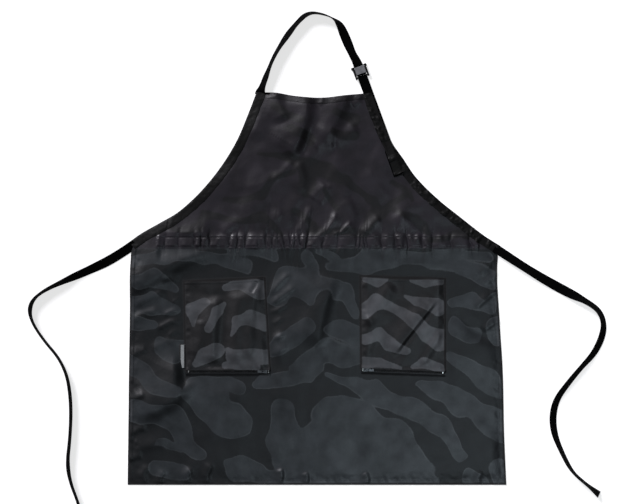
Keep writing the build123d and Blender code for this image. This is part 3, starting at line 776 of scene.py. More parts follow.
def ribbon(name, line, even, looks, lift):
    """A tape along line, rolled until it looks as wide as wanted, with its lower edge on the table."""
    share = even / even[-1]
    along = unit(np.gradient(line, axis=0))
    side = np.stack([along[:, 1], -along[:, 0], np.zeros(len(line))], -1)
    up = np.array([0, 0, 1.0])
    seen = line - np.array([*VIEW_MIDDLE, CAMERA_HEIGHT])
    slant = np.arctan2(np.sum(seen * side, axis=1), -seen[:, 2])
    wanted = (through(looks, share) + EDGE_LOSS) * MM / WEBBING_WIDTH
    angle = np.arccos(np.clip(wanted * np.cos(slant), 0.05, 1))
    angle = angle + slant * rise(angle, 0.1, 0.5)
    wide = side * np.cos(angle)[:, None] + up * np.sin(angle)[:, None]
    thin = -side * np.sin(angle)[:, None] + up * np.cos(angle)[:, None]
    centre = line.copy()
    leaning, lying = np.abs(np.sin(angle)), np.abs(np.cos(angle))
    centre[:, 2] = leaning * WEBBING_WIDTH / 2 + lying * WEBBING / 2 + TABLE_GAP
    centre[:, 2] += np.clip(through(lift, share), 0, None) * MM
    section = tape_section(WEBBING_WIDTH, WEBBING)
    rings = centre[:, None] + section[None, :, :1] * wide[:, None] + section[None, :, 1:] * thin[:, None]
    return loft(name, rings, flat_vectors(section[None, :, 0], even[:, None])), centre


def add_ties():
    for side, route, looks in (("left", TIE_LEFT, TIE_LEFT_LOOKS), ("right", TIE_RIGHT, TIE_RIGHT_LOOKS)):
        name = "waist_tie_" + side
        line, even = tucked(*route_line(name, route), TIE_TUCK)
        piece, centre = ribbon(name + "_webbing", line, even, looks, TIE_LIFT)
        finish_piece(piece, "skirt", "webbing", name)
        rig.cord(piece, exit=centre[0], length=0.695, diameter=WEBBING_WIDTH, far_end="bare",
                stiffness="limp", lay="loose", path=centre)


def add_neck_strap():
    line, even = tucked(*route_line("neck_strap", NECK_STRAP), NECK_TUCK)
    piece, centre = ribbon("neck_strap_webbing", line, even, NECK_LOOKS, NECK_LIFT)
    finish_piece(piece, "bib", "webbing", "neck_strap")
    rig.cord(piece, exit=centre[0], length=0.375, diameter=WEBBING_WIDTH, far_end="fitting",
            stiffness="limp", lay="loose", path=centre,
            with_pieces=["buckle_frame", "buckle_pin", "buckle_lever"])


# ---- cloth pieces ----------------------------------------------------------------------


def bend_piece(piece, slot, *nodes):
    """A piece of cloth that turns from the skirt to the bib across the waist fold."""
    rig.blend(piece, "skirt", "bib", FOLD_START, FOLD_END)
    return finish_piece(piece, None, slot, *nodes)


def add_body_cloth():
    rows = np.concatenate([np.linspace(HEM_Y, 68, 182)[:-1], np.linspace(68, 126, 48)[:-1],
                           np.linspace(126, TOP_Y, 103)])
    rows = rows if len(rows) % 2 else rows[1:]
    share = np.linspace(0, 1, BODY_COLUMNS)
    left, right = through(LEFT_EDGE, rows), through(RIGHT_EDGE, rows)
    x = left[:, None] + (right - left)[:, None] * share[None, :]
    y = np.repeat(rows[:, None], len(share), axis=1)
    sag = TOP_Y - through(BIB_TOP, x)
    y = y - sag * rise(y, 300, TOP_Y)
    z = body_height(x, y)
    bib = rise(y, 78, 86)
    inside = edge_distance(x, y)
    on_skirt = 1 - rise(y, 60, 84)
    # Painted shade: near black along the skirt's side and bottom edges and round the pockets.
    painted_edge_shade = np.maximum((1 - rise(inside, 1.7, 4.2)) * on_skirt, pocket_shade(x, y))
    # Painted highlight: a lighter strip along the side and bottom hems, in the pockets' lighter colours.
    painted_hem_highlight = bump(inside - 6.3, 1.7) * on_skirt * (0.55 + 0.45 * lattice_noise(x, y, 26, 31))
    # Its parts: the bib's own tone, the painted sheen and highlight, and the painted shade.
    tone_and_painted_light = np.stack([bib, painted_hem_highlight, painted_edge_shade], -1)
    body = thick_sheet("body_cloth", x, y, z, CLOTH, body_camo(x, y), tone_and_painted_light)
    bend_piece(body, "camo_cloth", "skirt_panel", "waist_gathers", "bib_panel")
    return body


def pocket_height(side, x, y, across, up, above_zip):
    """Height of a pocket's front: low at its sewn sides, standing off the body at its mouth."""
    (left, _), (right, _) = POCKETS[side]["mouth"]
    from_side = np.minimum(across, 1 - across) * (right - left)
    room = smooth(from_side / 16)
    seed = 40 if side == "left" else 45
    swell = 1.8 + 1.6 * layered_noise(x, y, 64, seed) + 0.5 * lattice_noise(x, y, 18, seed + 5)
    z = 1.9 + room * np.clip(swell, 0.1, None)
    z = z + room * bump(1 - up, 0.16) * 1.6
    for tall, lit, shaded, *row in POCKET_FOLDS[side]:
        z = z + room * fold(x, y, in_groups(row, 2), tall, lit, shaded, 0.16)
    pucker = lattice_noise(x, y * 0.4, 7, seed + 8) * bump(above_zip - 9, 7)
    pucker = pucker + lattice_noise(x * 0.4, y, 8, seed + 9) * bump(from_side - 6, 6)
    z = z + 0.5 * np.clip(pucker, -0.4, 1)
    groove = bump(from_side - 2.6, 0.9) * rise(from_side, 0, 2)
    z = z - 0.5 * groove * (z > 2.3)
    over_tape = 1 - rise(above_zip, 2.5, 11)
    z = z * (1 - over_tape) + 3.8 * over_tape
    hem = rise(up, 0.962, 0.968)
    return z + 0.45 * hem


def zip_frame(side):
    """Middle of a zip, its direction and the direction across it, in millimetres."""
    middle_x, middle_y, turn = POCKETS[side]["zip"]
    along = np.array([math.cos(math.radians(turn)), math.sin(math.radians(turn))])
    return np.array([middle_x, middle_y]), along, np.array([-along[1], along[0]])


def add_pocket(side):
    columns, rows = np.meshgrid(np.linspace(0, 1, POCKET_COLUMNS), np.linspace(0, 1, POCKET_ROWS))
    middle, along, over = zip_frame(side)
    (mlx, mly), (mrx, mry) = POCKETS[side]["mouth"]
    flx, frx = POCKETS[side]["foot"][0][0], POCKETS[side]["foot"][1][0]
    foot_x = flx + columns * (frx - flx)
    foot_y = middle[1] + 2.4 + (foot_x - middle[0]) * along[1] / along[0]
    mouth_x, mouth_y = mlx + columns * (mrx - mlx), mly + columns * (mry - mly)
    mouth_y = mouth_y - 2.2 * np.sin(math.pi * columns) ** 2
    x, y = foot_x + rows * (mouth_x - foot_x), foot_y + rows * (mouth_y - foot_y)
    above_zip = (x - middle[0]) * over[0] + (y - middle[1]) * over[1]
    z = pocket_height(side, x, y, columns, rows, above_zip)
    from_edge = np.minimum(np.minimum(columns, 1 - columns) * (mrx - mlx), (1 - rows) * (mly - foot_y))
    # Painted sheen over the whole pocket; painted shade along its sewn sides and its mouth.
    tone_and_painted_light = np.stack([np.zeros_like(x), np.ones_like(x), 1 - rise(from_edge, 1.9, 3.4)], -1)
    pocket = thick_sheet("pocket_cloth_" + side, x, y, z, CLOTH, pocket_camo(x, y, side), tone_and_painted_light)
    finish_piece(pocket, "skirt", "camo_cloth", "pocket_panel_" + side)
    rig.sheet(pocket, flat=(0.180, 0.192), held="laid", rests_on=["body_cloth"])


def add_zip_foot(side):
    """The strip of pocket cloth between a zip's lower tape and the body."""
    middle, along, over = zip_frame(side)
    lengths, rows = np.meshgrid(np.linspace(-86, 86, 131), np.linspace(-10.4, -2.4, 9))
    place = middle + lengths[..., None] * along + rows[..., None] * over
    x, y = place[..., 0], place[..., 1]
    z = 3.7 - 2.2 * rise(-rows, 3, 10.4) + 0.12 * lattice_noise(x, y, 9, 61)
    # Painted sheen: half way to the pockets' lighter colours.
    tone_and_painted_light = np.stack([np.zeros_like(x), np.full_like(x, 0.5), np.zeros_like(x)], -1)
    foot = thick_sheet("zip_foot_cloth_" + side, x, y, z, 1.4, body_camo(x, y), tone_and_painted_light)
    finish_piece(foot, "skirt", "camo_cloth", "zip_foot_strip_" + side)
    return foot


def offset_path(points, steps, distance):
    """Points evenly along a path, moved square to it; a positive distance moves to its left."""
    points = np.array(points, float)
    gone = distances(points)
    at = np.linspace(0, gone[-1], steps)
    place = np.stack([through(list(zip(gone, points[:, k])), at) for k in range(2)], -1)
    ahead = unit(np.gradient(place, axis=0))
    return place + np.reshape(distance, (-1, 1)) * np.stack([-ahead[:, 1], ahead[:, 0]], -1)


def anchor_height(x, y):
    """How much the webbing under the right binding lifts it, in millimetres."""
    along, across = strap_place(x, y)
    return 1.15 * rise(11.5 - np.abs(across), 0, 2.5) * rise(228 - along, -2, 3)


def anchor_top(x, y):
    """The lowest height for cloth that covers the webbing, in millimetres."""
    along, across = strap_place(x, y)
    middle = BUCKLE_CENTRE[:, None, None] + DOWN_STRAP[:, None, None] * along
    return (body_height(*middle) + 1.9) * (np.abs(across) < 10.8) * (along < ANCHOR_END + 2)


def cut_at_top(line):
    """The part of a line below the bib's top edge, with as many points as before."""
    over = through(BIB_TOP, line[:, 0]) - 0.4 - line[:, 1]
    last = int(np.argmax(over < 0))
    share = over[last - 1] / (over[last - 1] - over[last])
    at = np.linspace(0, last - 1 + share, len(line))
    return np.stack([np.interp(at, np.arange(len(line)), line[:, k]) for k in range(2)], -1)


def add_binding(side):
    path, inwards = (LEFT_BINDING, -1) if side == "left" else (RIGHT_BINDING, 1)
    shares = np.linspace(0, 1, 13)
    wide = np.full(BINDING_STEPS, BINDING_WIDTH)
    if side == "right":
        edge_line = offset_path(path, BINDING_STEPS, 0)
        _, across = strap_place(edge_line[:, 0], edge_line[:, 1])
        over_webbing = rise(edge_line[:, 1], 247, 249)
        wide = np.maximum(wide, (across + 8.6) * over_webbing)
    lines = np.stack([cut_at_top(offset_path(path, BINDING_STEPS, inwards * wide * s)) for s in shares], 0)
    x, y = lines[..., 0], lines[..., 1]
    s = np.repeat(shares[:, None], BINDING_STEPS, axis=1)
    run = np.repeat(np.linspace(0, 430, BINDING_STEPS)[None, :], len(shares), axis=0)
    edge = np.sqrt(np.clip(1 - (np.abs(2 * s - 1)) ** 8, 0, 1))
    seed, strength = (70, 0.4) if side == "left" else (75, 2.1)
    crinkle = strength * 0.9 * lattice_noise(run, s * 12, 11, seed)
    crinkle = crinkle + strength * 0.45 * lattice_noise(run, s * 20, 5, seed + 2)
    sewn = bump(s - 0.86, 0.06) + bump(s - 0.10, 0.05)
    z = body_height(x, y) + 0.75 * edge + np.clip(crinkle, -0.3, 2) * (1 - 0.6 * sewn) - 0.25 * sewn
    if side == "right":
        z = np.maximum(z + anchor_height(x, y), anchor_top(x, y))
    weave = flat_vectors(run, s * BINDING_WIDTH)
    strip = thick_sheet("side_binding_cloth_" + side, x, y, z, 0.9, weave=weave)
    bend_piece(strip, "binding_cloth", "side_binding_" + side)
    return strip


def add_facing():
    x, s = np.meshgrid(np.linspace(-114, 100, FACING_STEPS), np.linspace(0, 1, 11))
    y = through(BIB_TOP, x) + 0.3 - s * FACING_WIDTH
    crinkle = 0.35 * lattice_noise(x, s * 8, 13, 81) + 0.15 * lattice_noise(x, s * 20, 5, 82)
    edge = np.sqrt(np.clip(1 - (np.abs(2 * s - 1)) ** 8, 0, 1))
    raised = 0.35 * edge + np.clip(crinkle, -0.2, 1) - 0.1 * bump(s - 0.84, 0.06)
    z = body_height(x, y) + 0.1 + raised * rise(x, -108, -101) * rise(96 - x, 0, 8)
    strip = thick_sheet("bib_top_facing_cloth", x, y, z, 0.8, body_camo(x, y))
    finish_piece(strip, "bib", "lining_tape", "bib_top_facing")
    return strip


def add_waist_tapes():
    """The elastic in the waist band, and the casing sewn over it on the wrong side."""
    middle = sum(BAND) / 2 + 0.3
    for name, node, slot, half, low, thick in (
            ("waist_elastic_band", "waist_elastic", "elastic", 9.0, 2.05, 1.2),
            ("waist_casing_tape", "waist_casing", "lining_tape", 10.0, 0.75, 0.45)):
        x, row = np.meshgrid(np.linspace(BAND_X[0], BAND_X[1], 601), np.linspace(-half, half, 13))
        z = low + 0.12 * np.sin(x * 1.3) * np.cos(row * 0.3) - 0.1 * (np.abs(row) / half) ** 6
        piece = thick_sheet(name, x, middle + row, z, thick)
        bend_piece(piece, slot, node)
        yield piece


# ---- neck strap's sewn end and the buckle ------------------------------------------------


def strap_place(x, y):
    """How far down the strap from the buckle's middle, and how far across it."""
    dx, dy = x - BUCKLE_CENTRE[0], y - BUCKLE_CENTRE[1]
    return dx * DOWN_STRAP[0] + dy * DOWN_STRAP[1], dx * ACROSS_STRAP[0] + dy * ACROSS_STRAP[1]


def add_anchor():
    """Webbing looped round the buckle's bar and sewn down the bib."""
    down = np.concatenate([np.linspace(LOOP_START, 40, 41), np.linspace(41, ANCHOR_END, 95)])
    around = np.linspace(math.pi, 0, 13)[:-1]
    loop = np.stack([LOOP_START - 2.35 * np.sin(around), 3.0 - 1.75 * np.cos(around)], -1)
    under = np.stack([np.linspace(36, LOOP_START, 27)[:-1], np.full(26, 0.95)], -1)
    high = np.where(down < 30, 4.75 - 2.15 * rise(down, LOOP_START, 30), 2.6)
    on_bib = body_height(*(BUCKLE_CENTRE[:, None] + DOWN_STRAP[:, None] * down)) + 0.75
    high = np.where(down > 46, on_bib, high + (on_bib - 2.6) * rise(down, 34, 46))
    profile = np.concatenate([under, loop, np.stack([down, high], -1)])
    line = np.zeros((len(profile), 3))
    line[:, :2] = BUCKLE_CENTRE + profile[:, :1] * DOWN_STRAP
    line[:, 2] = profile[:, 1]
    wide = np.array([*ACROSS_STRAP, 0])
    thin = np.cross(wide, unit(np.gradient(line, axis=0)))
    section = tape_section(20, 1.15)
    rings = line[:, None] + section[None, :, :1] * wide + section[None, :, 1:] * thin[:, None]
    weave = flat_vectors(section[None, :, 0], distances(line)[:, None])
    piece = loft("neck_strap_anchor_webbing", rings * MM, weave * MM)
    finish_piece(piece, "bib", "webbing", "neck_strap_anchor")
    sewn_first = line[len(under) + len(loop) - 1:][::-1] * MM
    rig.cord(piece, exit=sewn_first[0], length=0.218, diameter=WEBBING_WIDTH, far_end="object",
            stiffness="limp", lay="loose", path=sewn_first)


def dress_cad_node(node, slot, bevel):
    """A CAD node kept as it is, with rounded edges and its slot's material."""
    piece = frame["nodes"][node]
    rounded = piece.modifiers.new("rounded_edges", "BEVEL")
    rounded.width = bevel * MM
    rounded.segments = 3
    rounded.limit_method = "ANGLE"
    rounded.angle_limit = math.radians(35)
    rounded.harden_normals = True
    piece.data.materials.clear()
    piece.data.materials.append(MATERIALS[slot])


# ---- zips -----------------------------------------------------------------------------


def zip_points(side, places):
    """Zip coordinates in millimetres, as points in metres."""
    middle, along, over = zip_frame(side)
    flat = middle + places[..., :1] * along + places[..., 1:2] * over
    return np.concatenate([flat, places[..., 2:]], -1) * MM


def add_zip(side):
    for way, name in ((1, "upper"), (-1, "lower")):
        add_zip_tape(side, way, name)
        add_zip_coil(side, way, name)


def add_zip_tape(side, way, name):
    middle, along, over = zip_frame(side)
    half = ZIP_HALF_LENGTH
    lengths, rows = np.meshgrid(np.linspace(-half, half, 201), np.linspace(1.9, 4.7, 7))
    place = middle + lengths[..., None] * along + way * rows[..., None] * over
    z = 3.42 + 0.06 * np.cos(rows * 4.5) + 0.03 * np.sin(lengths * 4)
    tape = thick_sheet(f"zip_tape_{name}_{side}_woven", place[..., 0], place[..., 1], z, 0.5,
                       weave=flat_vectors(lengths, rows))
    finish_piece(tape, "skirt", "zip_tape", f"zip_tape_{name}_{side}")


def add_zip_coil(side, way, name):
    """Loops of a nylon coil: each comes over the tape's edge, to a head at the middle, and back."""
    turn, tube = turns(LOOP_STEPS), turns(TUBE_STEPS)
    around = np.arange(LOOP_STEPS * TUBE_STEPS).reshape(LOOP_STEPS, TUBE_STEPS)
    outward = np.stack([np.zeros(LOOP_STEPS), -way * np.cos(turn), np.sin(turn)], -1)
    forward = np.array([1.0, 0, 0])
    thread = COIL_THREAD * (np.cos(tube)[None, :, None] * outward[:, None]
                            + np.sin(tube)[None, :, None] * forward)
    across = way * (1.35 - 0.85 * np.cos(turn))
    high = 3.2 + 0.45 * np.sin(turn) * np.where(np.cos(turn) > 0.6, 1.25, 1)
    verts, faces = [], []
    for loop in range(int(2 * COIL_HALF_LENGTH / COIL_PITCH)):
        middle = -COIL_HALF_LENGTH + (loop + 0.5) * COIL_PITCH + 0.25 * COIL_PITCH * way
        centre = np.stack([middle + 0.24 * np.sin(turn), across, high], -1)
        at = loop * around.size + around
        ahead, beside = np.roll(at, -1, 0), np.roll(at, -1, 1)
        faces.append(np.stack([at, ahead, np.roll(ahead, -1, 1), beside], -1).reshape(-1, 4))
        verts.append((centre[:, None] + thread).reshape(-1, 3))
    points = zip_points(side, np.concatenate(verts))
    coil = link_mesh(f"zip_coil_{name}_{side}_loops", points, np.concatenate(faces).tolist())
    finish_piece(coil, "skirt", "zip_coil", f"zip_coil_{name}_{side}")


# ---- label and stitches -----------------------------------------------------------------
def add_label():
    """A folded woven tab let into the left pocket's side seam, with a plain pale band."""
    x, y = np.meshgrid(np.linspace(*LABEL_X, 27), np.linspace(*LABEL_Y, 61))
    edge = np.minimum(x - LABEL_X[0], np.minimum(y - LABEL_Y[0], LABEL_Y[1] - y))
    z = 2.0 + 0.6 * smooth(edge / 1.4) + 0.25 * lattice_noise(x, y, 9, 91) + 0.2 * rise(x, -282, -270)
    band = np.clip(3.4 - np.abs(x + 275.8), -3, 3)
    band = np.minimum(band, np.minimum(y + 162, -115 - y))
    tab = thick_sheet("side_label_tab", x, y, z, 0.9, band)
    finish_piece(tab, "skirt", "label", "side_label")
    return tab


def sewn_line(points):
    """Stitches along a path in millimetres, each a small rounded thread lying on the body cloth."""
    gone = distances(points)
    starts = np.arange(STITCH_STEP / 2, gone[-1] - STITCH, STITCH_STEP)
    at = starts[:, None] + STITCH_SHARES * STITCH
    px, py = np.interp(at, gone, points[:, 0]), np.interp(at, gone, points[:, 1])
    ahead = unit(np.stack([px[:, -1] - px[:, 0], py[:, -1] - py[:, 0]], -1))
    side = np.stack([-ahead[:, 1], ahead[:, 0]], -1)
    pz = body_height(px, py) + 0.1 + STITCH_SINKS
    girth, tube = STITCH_GIRTHS[None, :, None], turns(TUBE_STEPS)
    ring_x = px[..., None] + girth * np.cos(tube) * side[:, None, None, 0]
    ring_y = py[..., None] + girth * np.cos(tube) * side[:, None, None, 1]
    ring_z = pz[..., None] + girth * np.sin(tube)
    return np.stack([ring_x, ring_y, ring_z], -1)


def stitch_mesh(name, lines):
    rings = np.concatenate(lines)
    at = np.arange(rings[..., 0].size).reshape(rings.shape[:-1])
    after = np.roll(at, -1, axis=2)
    sides = np.stack([at[:, :-1], after[:, :-1], after[:, 1:], at[:, 1:]], -1).reshape(-1, 4)
    caps = np.concatenate([at[:, 0, ::-1], at[:, -1]])
    return link_mesh(name, rings.reshape(-1, 3) * MM, sides.tolist() + caps.tolist())


def hem_path(depth):
    """A line inside the skirt's side and bottom hems."""
    y = np.linspace(70, HEM_Y + depth, 60)
    left = np.stack([through(LEFT_EDGE, y) + depth, y], -1)
    right = np.stack([through(RIGHT_EDGE, y) - depth, y], -1)
    return np.concatenate([left, right[::-1]])


def add_body_stitches():
    lines = [sewn_line(hem_path(HEM_DEPTH))]
    x = np.linspace(*BAND_X, 500)
    for y in (BAND[0] + 1.5, BAND[1] - 1.5):
        lines.append(sewn_line(np.stack([x, np.full(x.shape, y)], -1)))
    stitches = stitch_mesh("body_stitches", lines)
    bend_piece(stitches, "binding_cloth")
    return stitches


# ---- materials ---------------------------------------------------------------------------
def ink(red, green, blue):
    """A colour from values of 0 to 255 as they look on a screen."""
    return tuple((c / 255 / 12.92) if c < 10 else ((c / 255 + 0.055) / 1.055) ** 2.4
                 for c in (red, green, blue)) + (1.0,)


def add_node(tree, kind, inputs=None, **settings):
    made = tree.nodes.new(kind)
    for name, value in settings.items():
        setattr(made, name, value)
    for key, value in (inputs or {}).items():
        if isinstance(value, bpy.types.NodeSocket):
            tree.links.new(value, made.inputs[key])
        else:
            made.inputs[key].default_value = value
    return made


def attribute(tree, name, output):
    return add_node(tree, "ShaderNodeAttribute", attribute_name=name).outputs[output]


def colour_mix(tree, share, first, second):
    return add_node(tree, "ShaderNodeMix", {0: share, 6: first, 7: second}, data_type="RGBA").outputs[2]


def number(tree, operation, first, second=0.0, third=0.0):
    inputs = {0: first, 1: second, 2: third}
    return add_node(tree, "ShaderNodeMath", inputs, operation=operation).outputs[0]


def in_range(tree, value, low, high, to_low=0.0, to_high=1.0):
    keys = {"Value": value, "From Min": low, "From Max": high, "To Min": to_low, "To Max": to_high}
    return add_node(tree, "ShaderNodeMapRange", keys).outputs["Result"]


def noise(tree, place, scale, detail=2.0):
    inputs = {"Vector": place, "Scale": scale, "Detail": detail}
    return add_node(tree, "ShaderNodeTexNoise", inputs).outputs["Fac"]


def bump_node(tree, height, distance, before=None):
    inputs = {"Height": height, "Strength": 1.0, "Distance": distance}
    if before is not None:
        inputs["Normal"] = before
    return add_node(tree, "ShaderNodeBump", inputs).outputs["Normal"]


def twill(tree, place, pitch):
    """Diagonal ribs of a twill weave, pitch metres apart."""
    inputs = {"Vector": place, "Scale": 0.5 / pitch, "Distortion": 0.6, "Detail": 1.0, "Detail Scale": 1.5}
    return add_node(tree, "ShaderNodeTexWave", inputs, bands_direction="DIAGONAL").outputs["Fac"]


def start_material(slot, specular, metallic=0.0):
    material = bpy.data.materials.new(slot)
    material.use_nodes = True
    shader = material.node_tree.nodes["Principled BSDF"]
    shader.inputs["Specular IOR Level"].default_value = specular
    shader.inputs["Metallic"].default_value = metallic
    MATERIALS[slot] = material
    return material.node_tree, shader


def join(tree, shader, **sockets):
    names = {"colour": "Base Color", "roughness": "Roughness", "normal": "Normal"}
    for key, value in sockets.items():
        tree.links.new(value, shader.inputs[names[key]])


def camo_cloth():
    tree, shader = start_material("camo_cloth", specular=0.46)
    place = attribute(tree, "weave", "Vector")
    # Parts of the vector: the bib's own tone, the painted sheen and highlight, and the painted shade.
    parts = add_node(tree, "ShaderNodeSeparateXYZ", {0: attribute(tree, "tone_and_painted_light", "Vector")}).outputs
    rough_edge = number(tree, "MULTIPLY_ADD", noise(tree, place, 300, 3), 3.0, -1.5)
    rough_edge = number(tree, "MULTIPLY", rough_edge, in_range(tree, parts[0], 0, 1, 1.0, 0.3))
    field = number(tree, "ADD", attribute(tree, "camo", "Fac"), rough_edge)
    lobe = in_range(tree, field, 0.7, -0.7)
    rim = number(tree, "MULTIPLY", in_range(tree, field, 1.0, -0.2), in_range(tree, field, -2.6, -1.0))
    rim = number(tree, "MULTIPLY", rim, in_range(tree, parts[0], 0, 1, 0.28, 0.0))
    rim = number(tree, "MULTIPLY", rim, in_range(tree, noise(tree, place, 26, 1), 0.38, 0.62))
    # Painted sheen: cloudy lighter and darker patches, strongest on the light lobes, stand in for the satin's patchy
    # sheen.
    cloudy = number(tree, "ADD", noise(tree, place, 11, 5), noise(tree, place, 34, 4))
    cloudy = in_range(tree, cloudy, 0.72, 1.28, -0.34, 0.34)
    cloudy = number(tree, "MULTIPLY", cloudy, in_range(tree, lobe, 0, 1, 0.3, 1.0))
    dark = colour_mix(tree, parts[0], ink(5, 8, 11), ink(8, 7, 10))
    # Painted sheen: the pockets, the zip foot and the hem strip take lighter copies of these colours.
    dark = colour_mix(tree, parts[1], dark, ink(9, 9, 11))
    light = colour_mix(tree, parts[0], ink(44, 48, 51), ink(36, 33, 39))
    light = colour_mix(tree, parts[1], light, ink(72, 74, 77))
    share = number(tree, "ADD", number(tree, "MULTIPLY", lobe, 0.66), cloudy)
    colour = colour_mix(tree, share, dark, light)
    colour = colour_mix(tree, rim, colour, ink(72, 76, 78))
    # Painted shade: near black along the skirt's edges and round the pockets, rougher there too.
    colour = colour_mix(tree, parts[2], colour, ink(2, 2, 3))
    roughness = in_range(tree, lobe, 0, 1, 0.46, 0.40)
    roughness = number(tree, "ADD", roughness, number(tree, "MULTIPLY", parts[2], 0.4))
    normal = bump_node(tree, twill(tree, place, 0.0007), 0.000015)
    normal = bump_node(tree, noise(tree, place, 160, 3), 0.00016, normal)
    join(tree, shader, colour=colour, roughness=roughness, normal=normal)


def woven(slot, dark, light, pitch, depth, roughness, specular):
    """A plain woven cloth or tape with diagonal ribs and a cloudy colour."""
    tree, shader = start_material(slot, specular=specular)
    place = attribute(tree, "weave", "Vector")
    ribs = twill(tree, place, pitch)
    share = in_range(tree, noise(tree, place, 90, 3), 0.3, 0.7)
    share = number(tree, "MULTIPLY_ADD", ribs, 0.4, number(tree, "MULTIPLY", share, 0.6))
    join(tree, shader, colour=colour_mix(tree, share, dark, light),
         roughness=in_range(tree, share, 0, 1, roughness + 0.08, roughness - 0.06),
         normal=bump_node(tree, ribs, depth, bump_node(tree, noise(tree, place, 260, 2), 0.0001)))


def ribbed(slot, dark, light, pitch, depth, roughness, across="Y", specular=0.25):
    """Ribs square to the run of a tape, crossed by a finer thread."""
    tree, shader = start_material(slot, specular=specular)
    place = attribute(tree, "weave", "Vector")
    inputs = {"Vector": place, "Scale": 0.314 / pitch, "Distortion": 0.4, "Detail": 1.0}
    ribs = add_node(tree, "ShaderNodeTexWave", inputs, bands_direction=across).outputs["Fac"]
    other = {"X": "Y", "Y": "X"}[across]
    inputs = {"Vector": place, "Scale": 0.314 / pitch * 1.6, "Distortion": 0.3, "Detail": 1.0}
    threads = add_node(tree, "ShaderNodeTexWave", inputs, bands_direction=other).outputs["Fac"]
    share = number(tree, "MULTIPLY", ribs, threads)
    mottled = number(tree, "MULTIPLY", share, 0.7)
    mottled = number(tree, "MULTIPLY_ADD", noise(tree, place, 120, 3), 0.4, mottled)
    join(tree, shader, colour=colour_mix(tree, mottled, dark, light),
         roughness=in_range(tree, share, 0, 1, roughness + 0.08, roughness - 0.08),
         normal=bump_node(tree, share, depth))


def label_tab():
    tree, shader = start_material("label", specular=0.3)
    place = attribute(tree, "weave", "Vector")
    threads = twill(tree, place, 0.0005)
    band = in_range(tree, attribute(tree, "camo", "Fac"), -0.3, 0.3)
    ground = colour_mix(tree, threads, ink(20, 21, 22), ink(34, 35, 36))
    pale = colour_mix(tree, threads, ink(112, 116, 116), ink(150, 154, 154))
    join(tree, shader, colour=colour_mix(tree, band, ground, pale),
         roughness=in_range(tree, threads, 0, 1, 0.6, 0.45), normal=bump_node(tree, threads, 0.00008))


def hard(slot, dark, light, roughness, grain, depth, specular=0.5, metallic=0.0):
    """Moulded plastic or metal, with a fine grain, a cloudy colour and uneven polish."""
    tree, shader = start_material(slot, specular=specular, metallic=metallic)
    place = add_node(tree, "ShaderNodeTexCoord").outputs["Object"]
    cloudy = noise(tree, place, 130, 4)
    fine = noise(tree, place, grain, 2)
    join(tree, shader, colour=colour_mix(tree, in_range(tree, cloudy, 0.35, 0.65), dark, light),
         roughness=in_range(tree, cloudy, 0.3, 0.7, roughness - 0.07, roughness + 0.09),
         normal=bump_node(tree, fine, depth))


def floor_material():
    tree, shader = start_material("pale_floor", specular=0.0)
    place = add_node(tree, "ShaderNodeTexCoord").outputs["Object"]
    colour = colour_mix(tree, noise(tree, place, 3, 2), ink(190, 190, 190), ink(194, 194, 194))
    join(tree, shader, colour=colour)
    shader.inputs["Roughness"].default_value = 0.9
    shader.inputs["Emission Color"].default_value = (1, 1, 1, 1)
    shader.inputs["Emission Strength"].default_value = FLOOR_GLOW


def make_materials():
    camo_cloth()
    woven("binding_cloth", ink(4, 4, 4), ink(13, 13, 12), 0.0007, 0.00003, 0.50, 0.17)
    woven("lining_tape", ink(9, 8, 10), ink(21, 19, 23), 0.0007, 0.00002, 0.46, 0.3)
    ribbed("elastic", ink(20, 21, 22), ink(44, 45, 46), 0.0012, 0.0003, 0.6, "X")
    ribbed("webbing", ink(2, 2, 2), ink(9, 9, 10), 0.0016, 0.0003, 0.85, specular=0.03)
    label_tab()
    hard("buckle_plastic", ink(10, 10, 11), ink(20, 20, 21), 0.4, 3000, 0.00002, 0.3)
    # Painted reflection: the lever's grey stands in for the light that its smooth plate reflects.
    hard("lever_plastic", ink(101, 102, 104), ink(119, 120, 122), 0.30, 3000, 0.00002)
    hard("pin_steel", ink(150, 150, 152), ink(190, 190, 192), 0.28, 5000, 0.00001, metallic=1.0)
    ribbed("zip_tape", ink(5, 5, 6), ink(13, 13, 14), 0.0006, 0.00004, 0.65)
    hard("zip_coil", ink(20, 21, 22), ink(33, 35, 36), 0.5, 4000, 0.00001, 0.2)
    hard("zip_stop_metal", ink(190, 190, 188), ink(225, 225, 222), 0.28, 4000, 0.00001, metallic=1.0)
    hard("zip_slider_metal", ink(84, 85, 88), ink(124, 125, 128), 0.30, 4000, 0.00001, metallic=1.0)
    floor_material()


# ---- light and floor ----------------------------------------------------------------------
def add_lamp(name, kind, place, aim, energy):
    lamp = bpy.data.objects.new(name, bpy.data.lights.new(name, kind))
    lamp.data.energy = energy
    lamp.location = place
    lamp.rotation_euler = (Vector(aim) - Vector(place)).to_track_quat("-Z", "Y").to_euler()
    bpy.context.collection.objects.link(lamp)
    return lamp.data


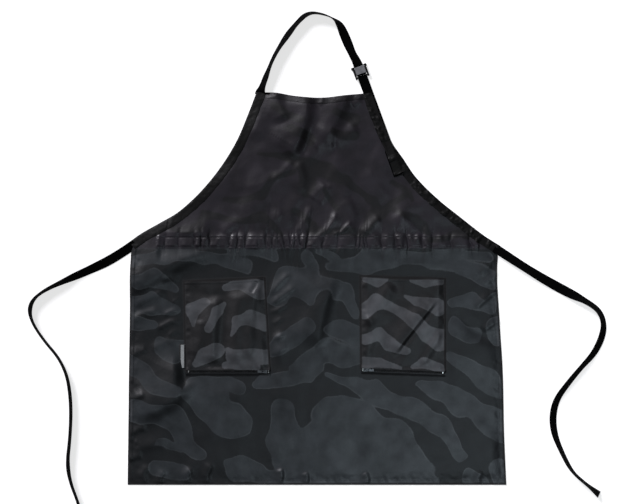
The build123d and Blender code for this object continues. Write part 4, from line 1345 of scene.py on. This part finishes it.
def add_studio():
    corners = [(FLOOR_REACH * x, FLOOR_REACH * y, 0) for x, y in ((-1, -1), (1, -1), (1, 1), (-1, 1))]
    floor = link_mesh("floor", corners, [(0, 1, 2, 3)])
    floor.data.materials.append(MATERIALS["pale_floor"])
    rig.stage(floor)
    world = bpy.data.worlds.new("studio")
    world.use_nodes = True
    background = world.node_tree.nodes["Background"]
    background.inputs["Color"].default_value = (1, 1, 1, 1)
    background.inputs["Strength"].default_value = WORLD_LIGHT
    bpy.context.scene.world = world
    sun = add_lamp("key", "SUN", KEY_PLACE, (0, 0, 0), KEY_ENERGY)
    sun.color = KEY_COLOUR
    sun.angle = math.radians(KEY_SPREAD)
    spot = add_lamp("overhead", "SPOT", SPOT_PLACE, SPOT_AIM, SPOT_ENERGY)
    spot.color = SPOT_COLOUR
    spot.spot_size = math.radians(SPOT_SPREAD)
    spot.spot_blend = 1.0
    spot.shadow_soft_size = SPOT_SIZE
    bpy.context.scene.view_settings.view_transform = "Standard"


def build_scene():
    make_materials()
    add_camera()
    add_anchor()
    add_ties()
    add_neck_strap()
    body = add_body_cloth()
    with_body = [add_binding("left"), add_binding("right"), add_facing(), *add_waist_tapes()]
    with_body += [add_zip_foot("left"), add_zip_foot("right"), add_label(), add_body_stitches()]
    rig.sheet(body, flat=(0.80, 0.82), held="laid", area=0.53, with_pieces=with_body)
    for side in POCKETS:
        add_pocket(side)
        add_zip(side)
        dress_cad_node("zip_slider_" + side, "zip_slider_metal", 0.25)
        dress_cad_node("zip_pull_" + side, "zip_slider_metal", 0.25)
        dress_cad_node("zip_top_stops_" + side, "zip_stop_metal", 0.3)
        dress_cad_node("zip_bottom_stop_" + side, "zip_stop_metal", 0.3)
    dress_cad_node("buckle_frame", "buckle_plastic", 0.6)
    dress_cad_node("buckle_lever", "lever_plastic", 0.5)
    dress_cad_node("buckle_pin", "pin_steel", 0.2)
    add_studio()


build_scene()
sizes = {"cad": [list(corner) for corner in cad_box], "visual": [list(corner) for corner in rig.bounds()]}
with open("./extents.json", "w") as size_file:
    json.dump(sizes, size_file)
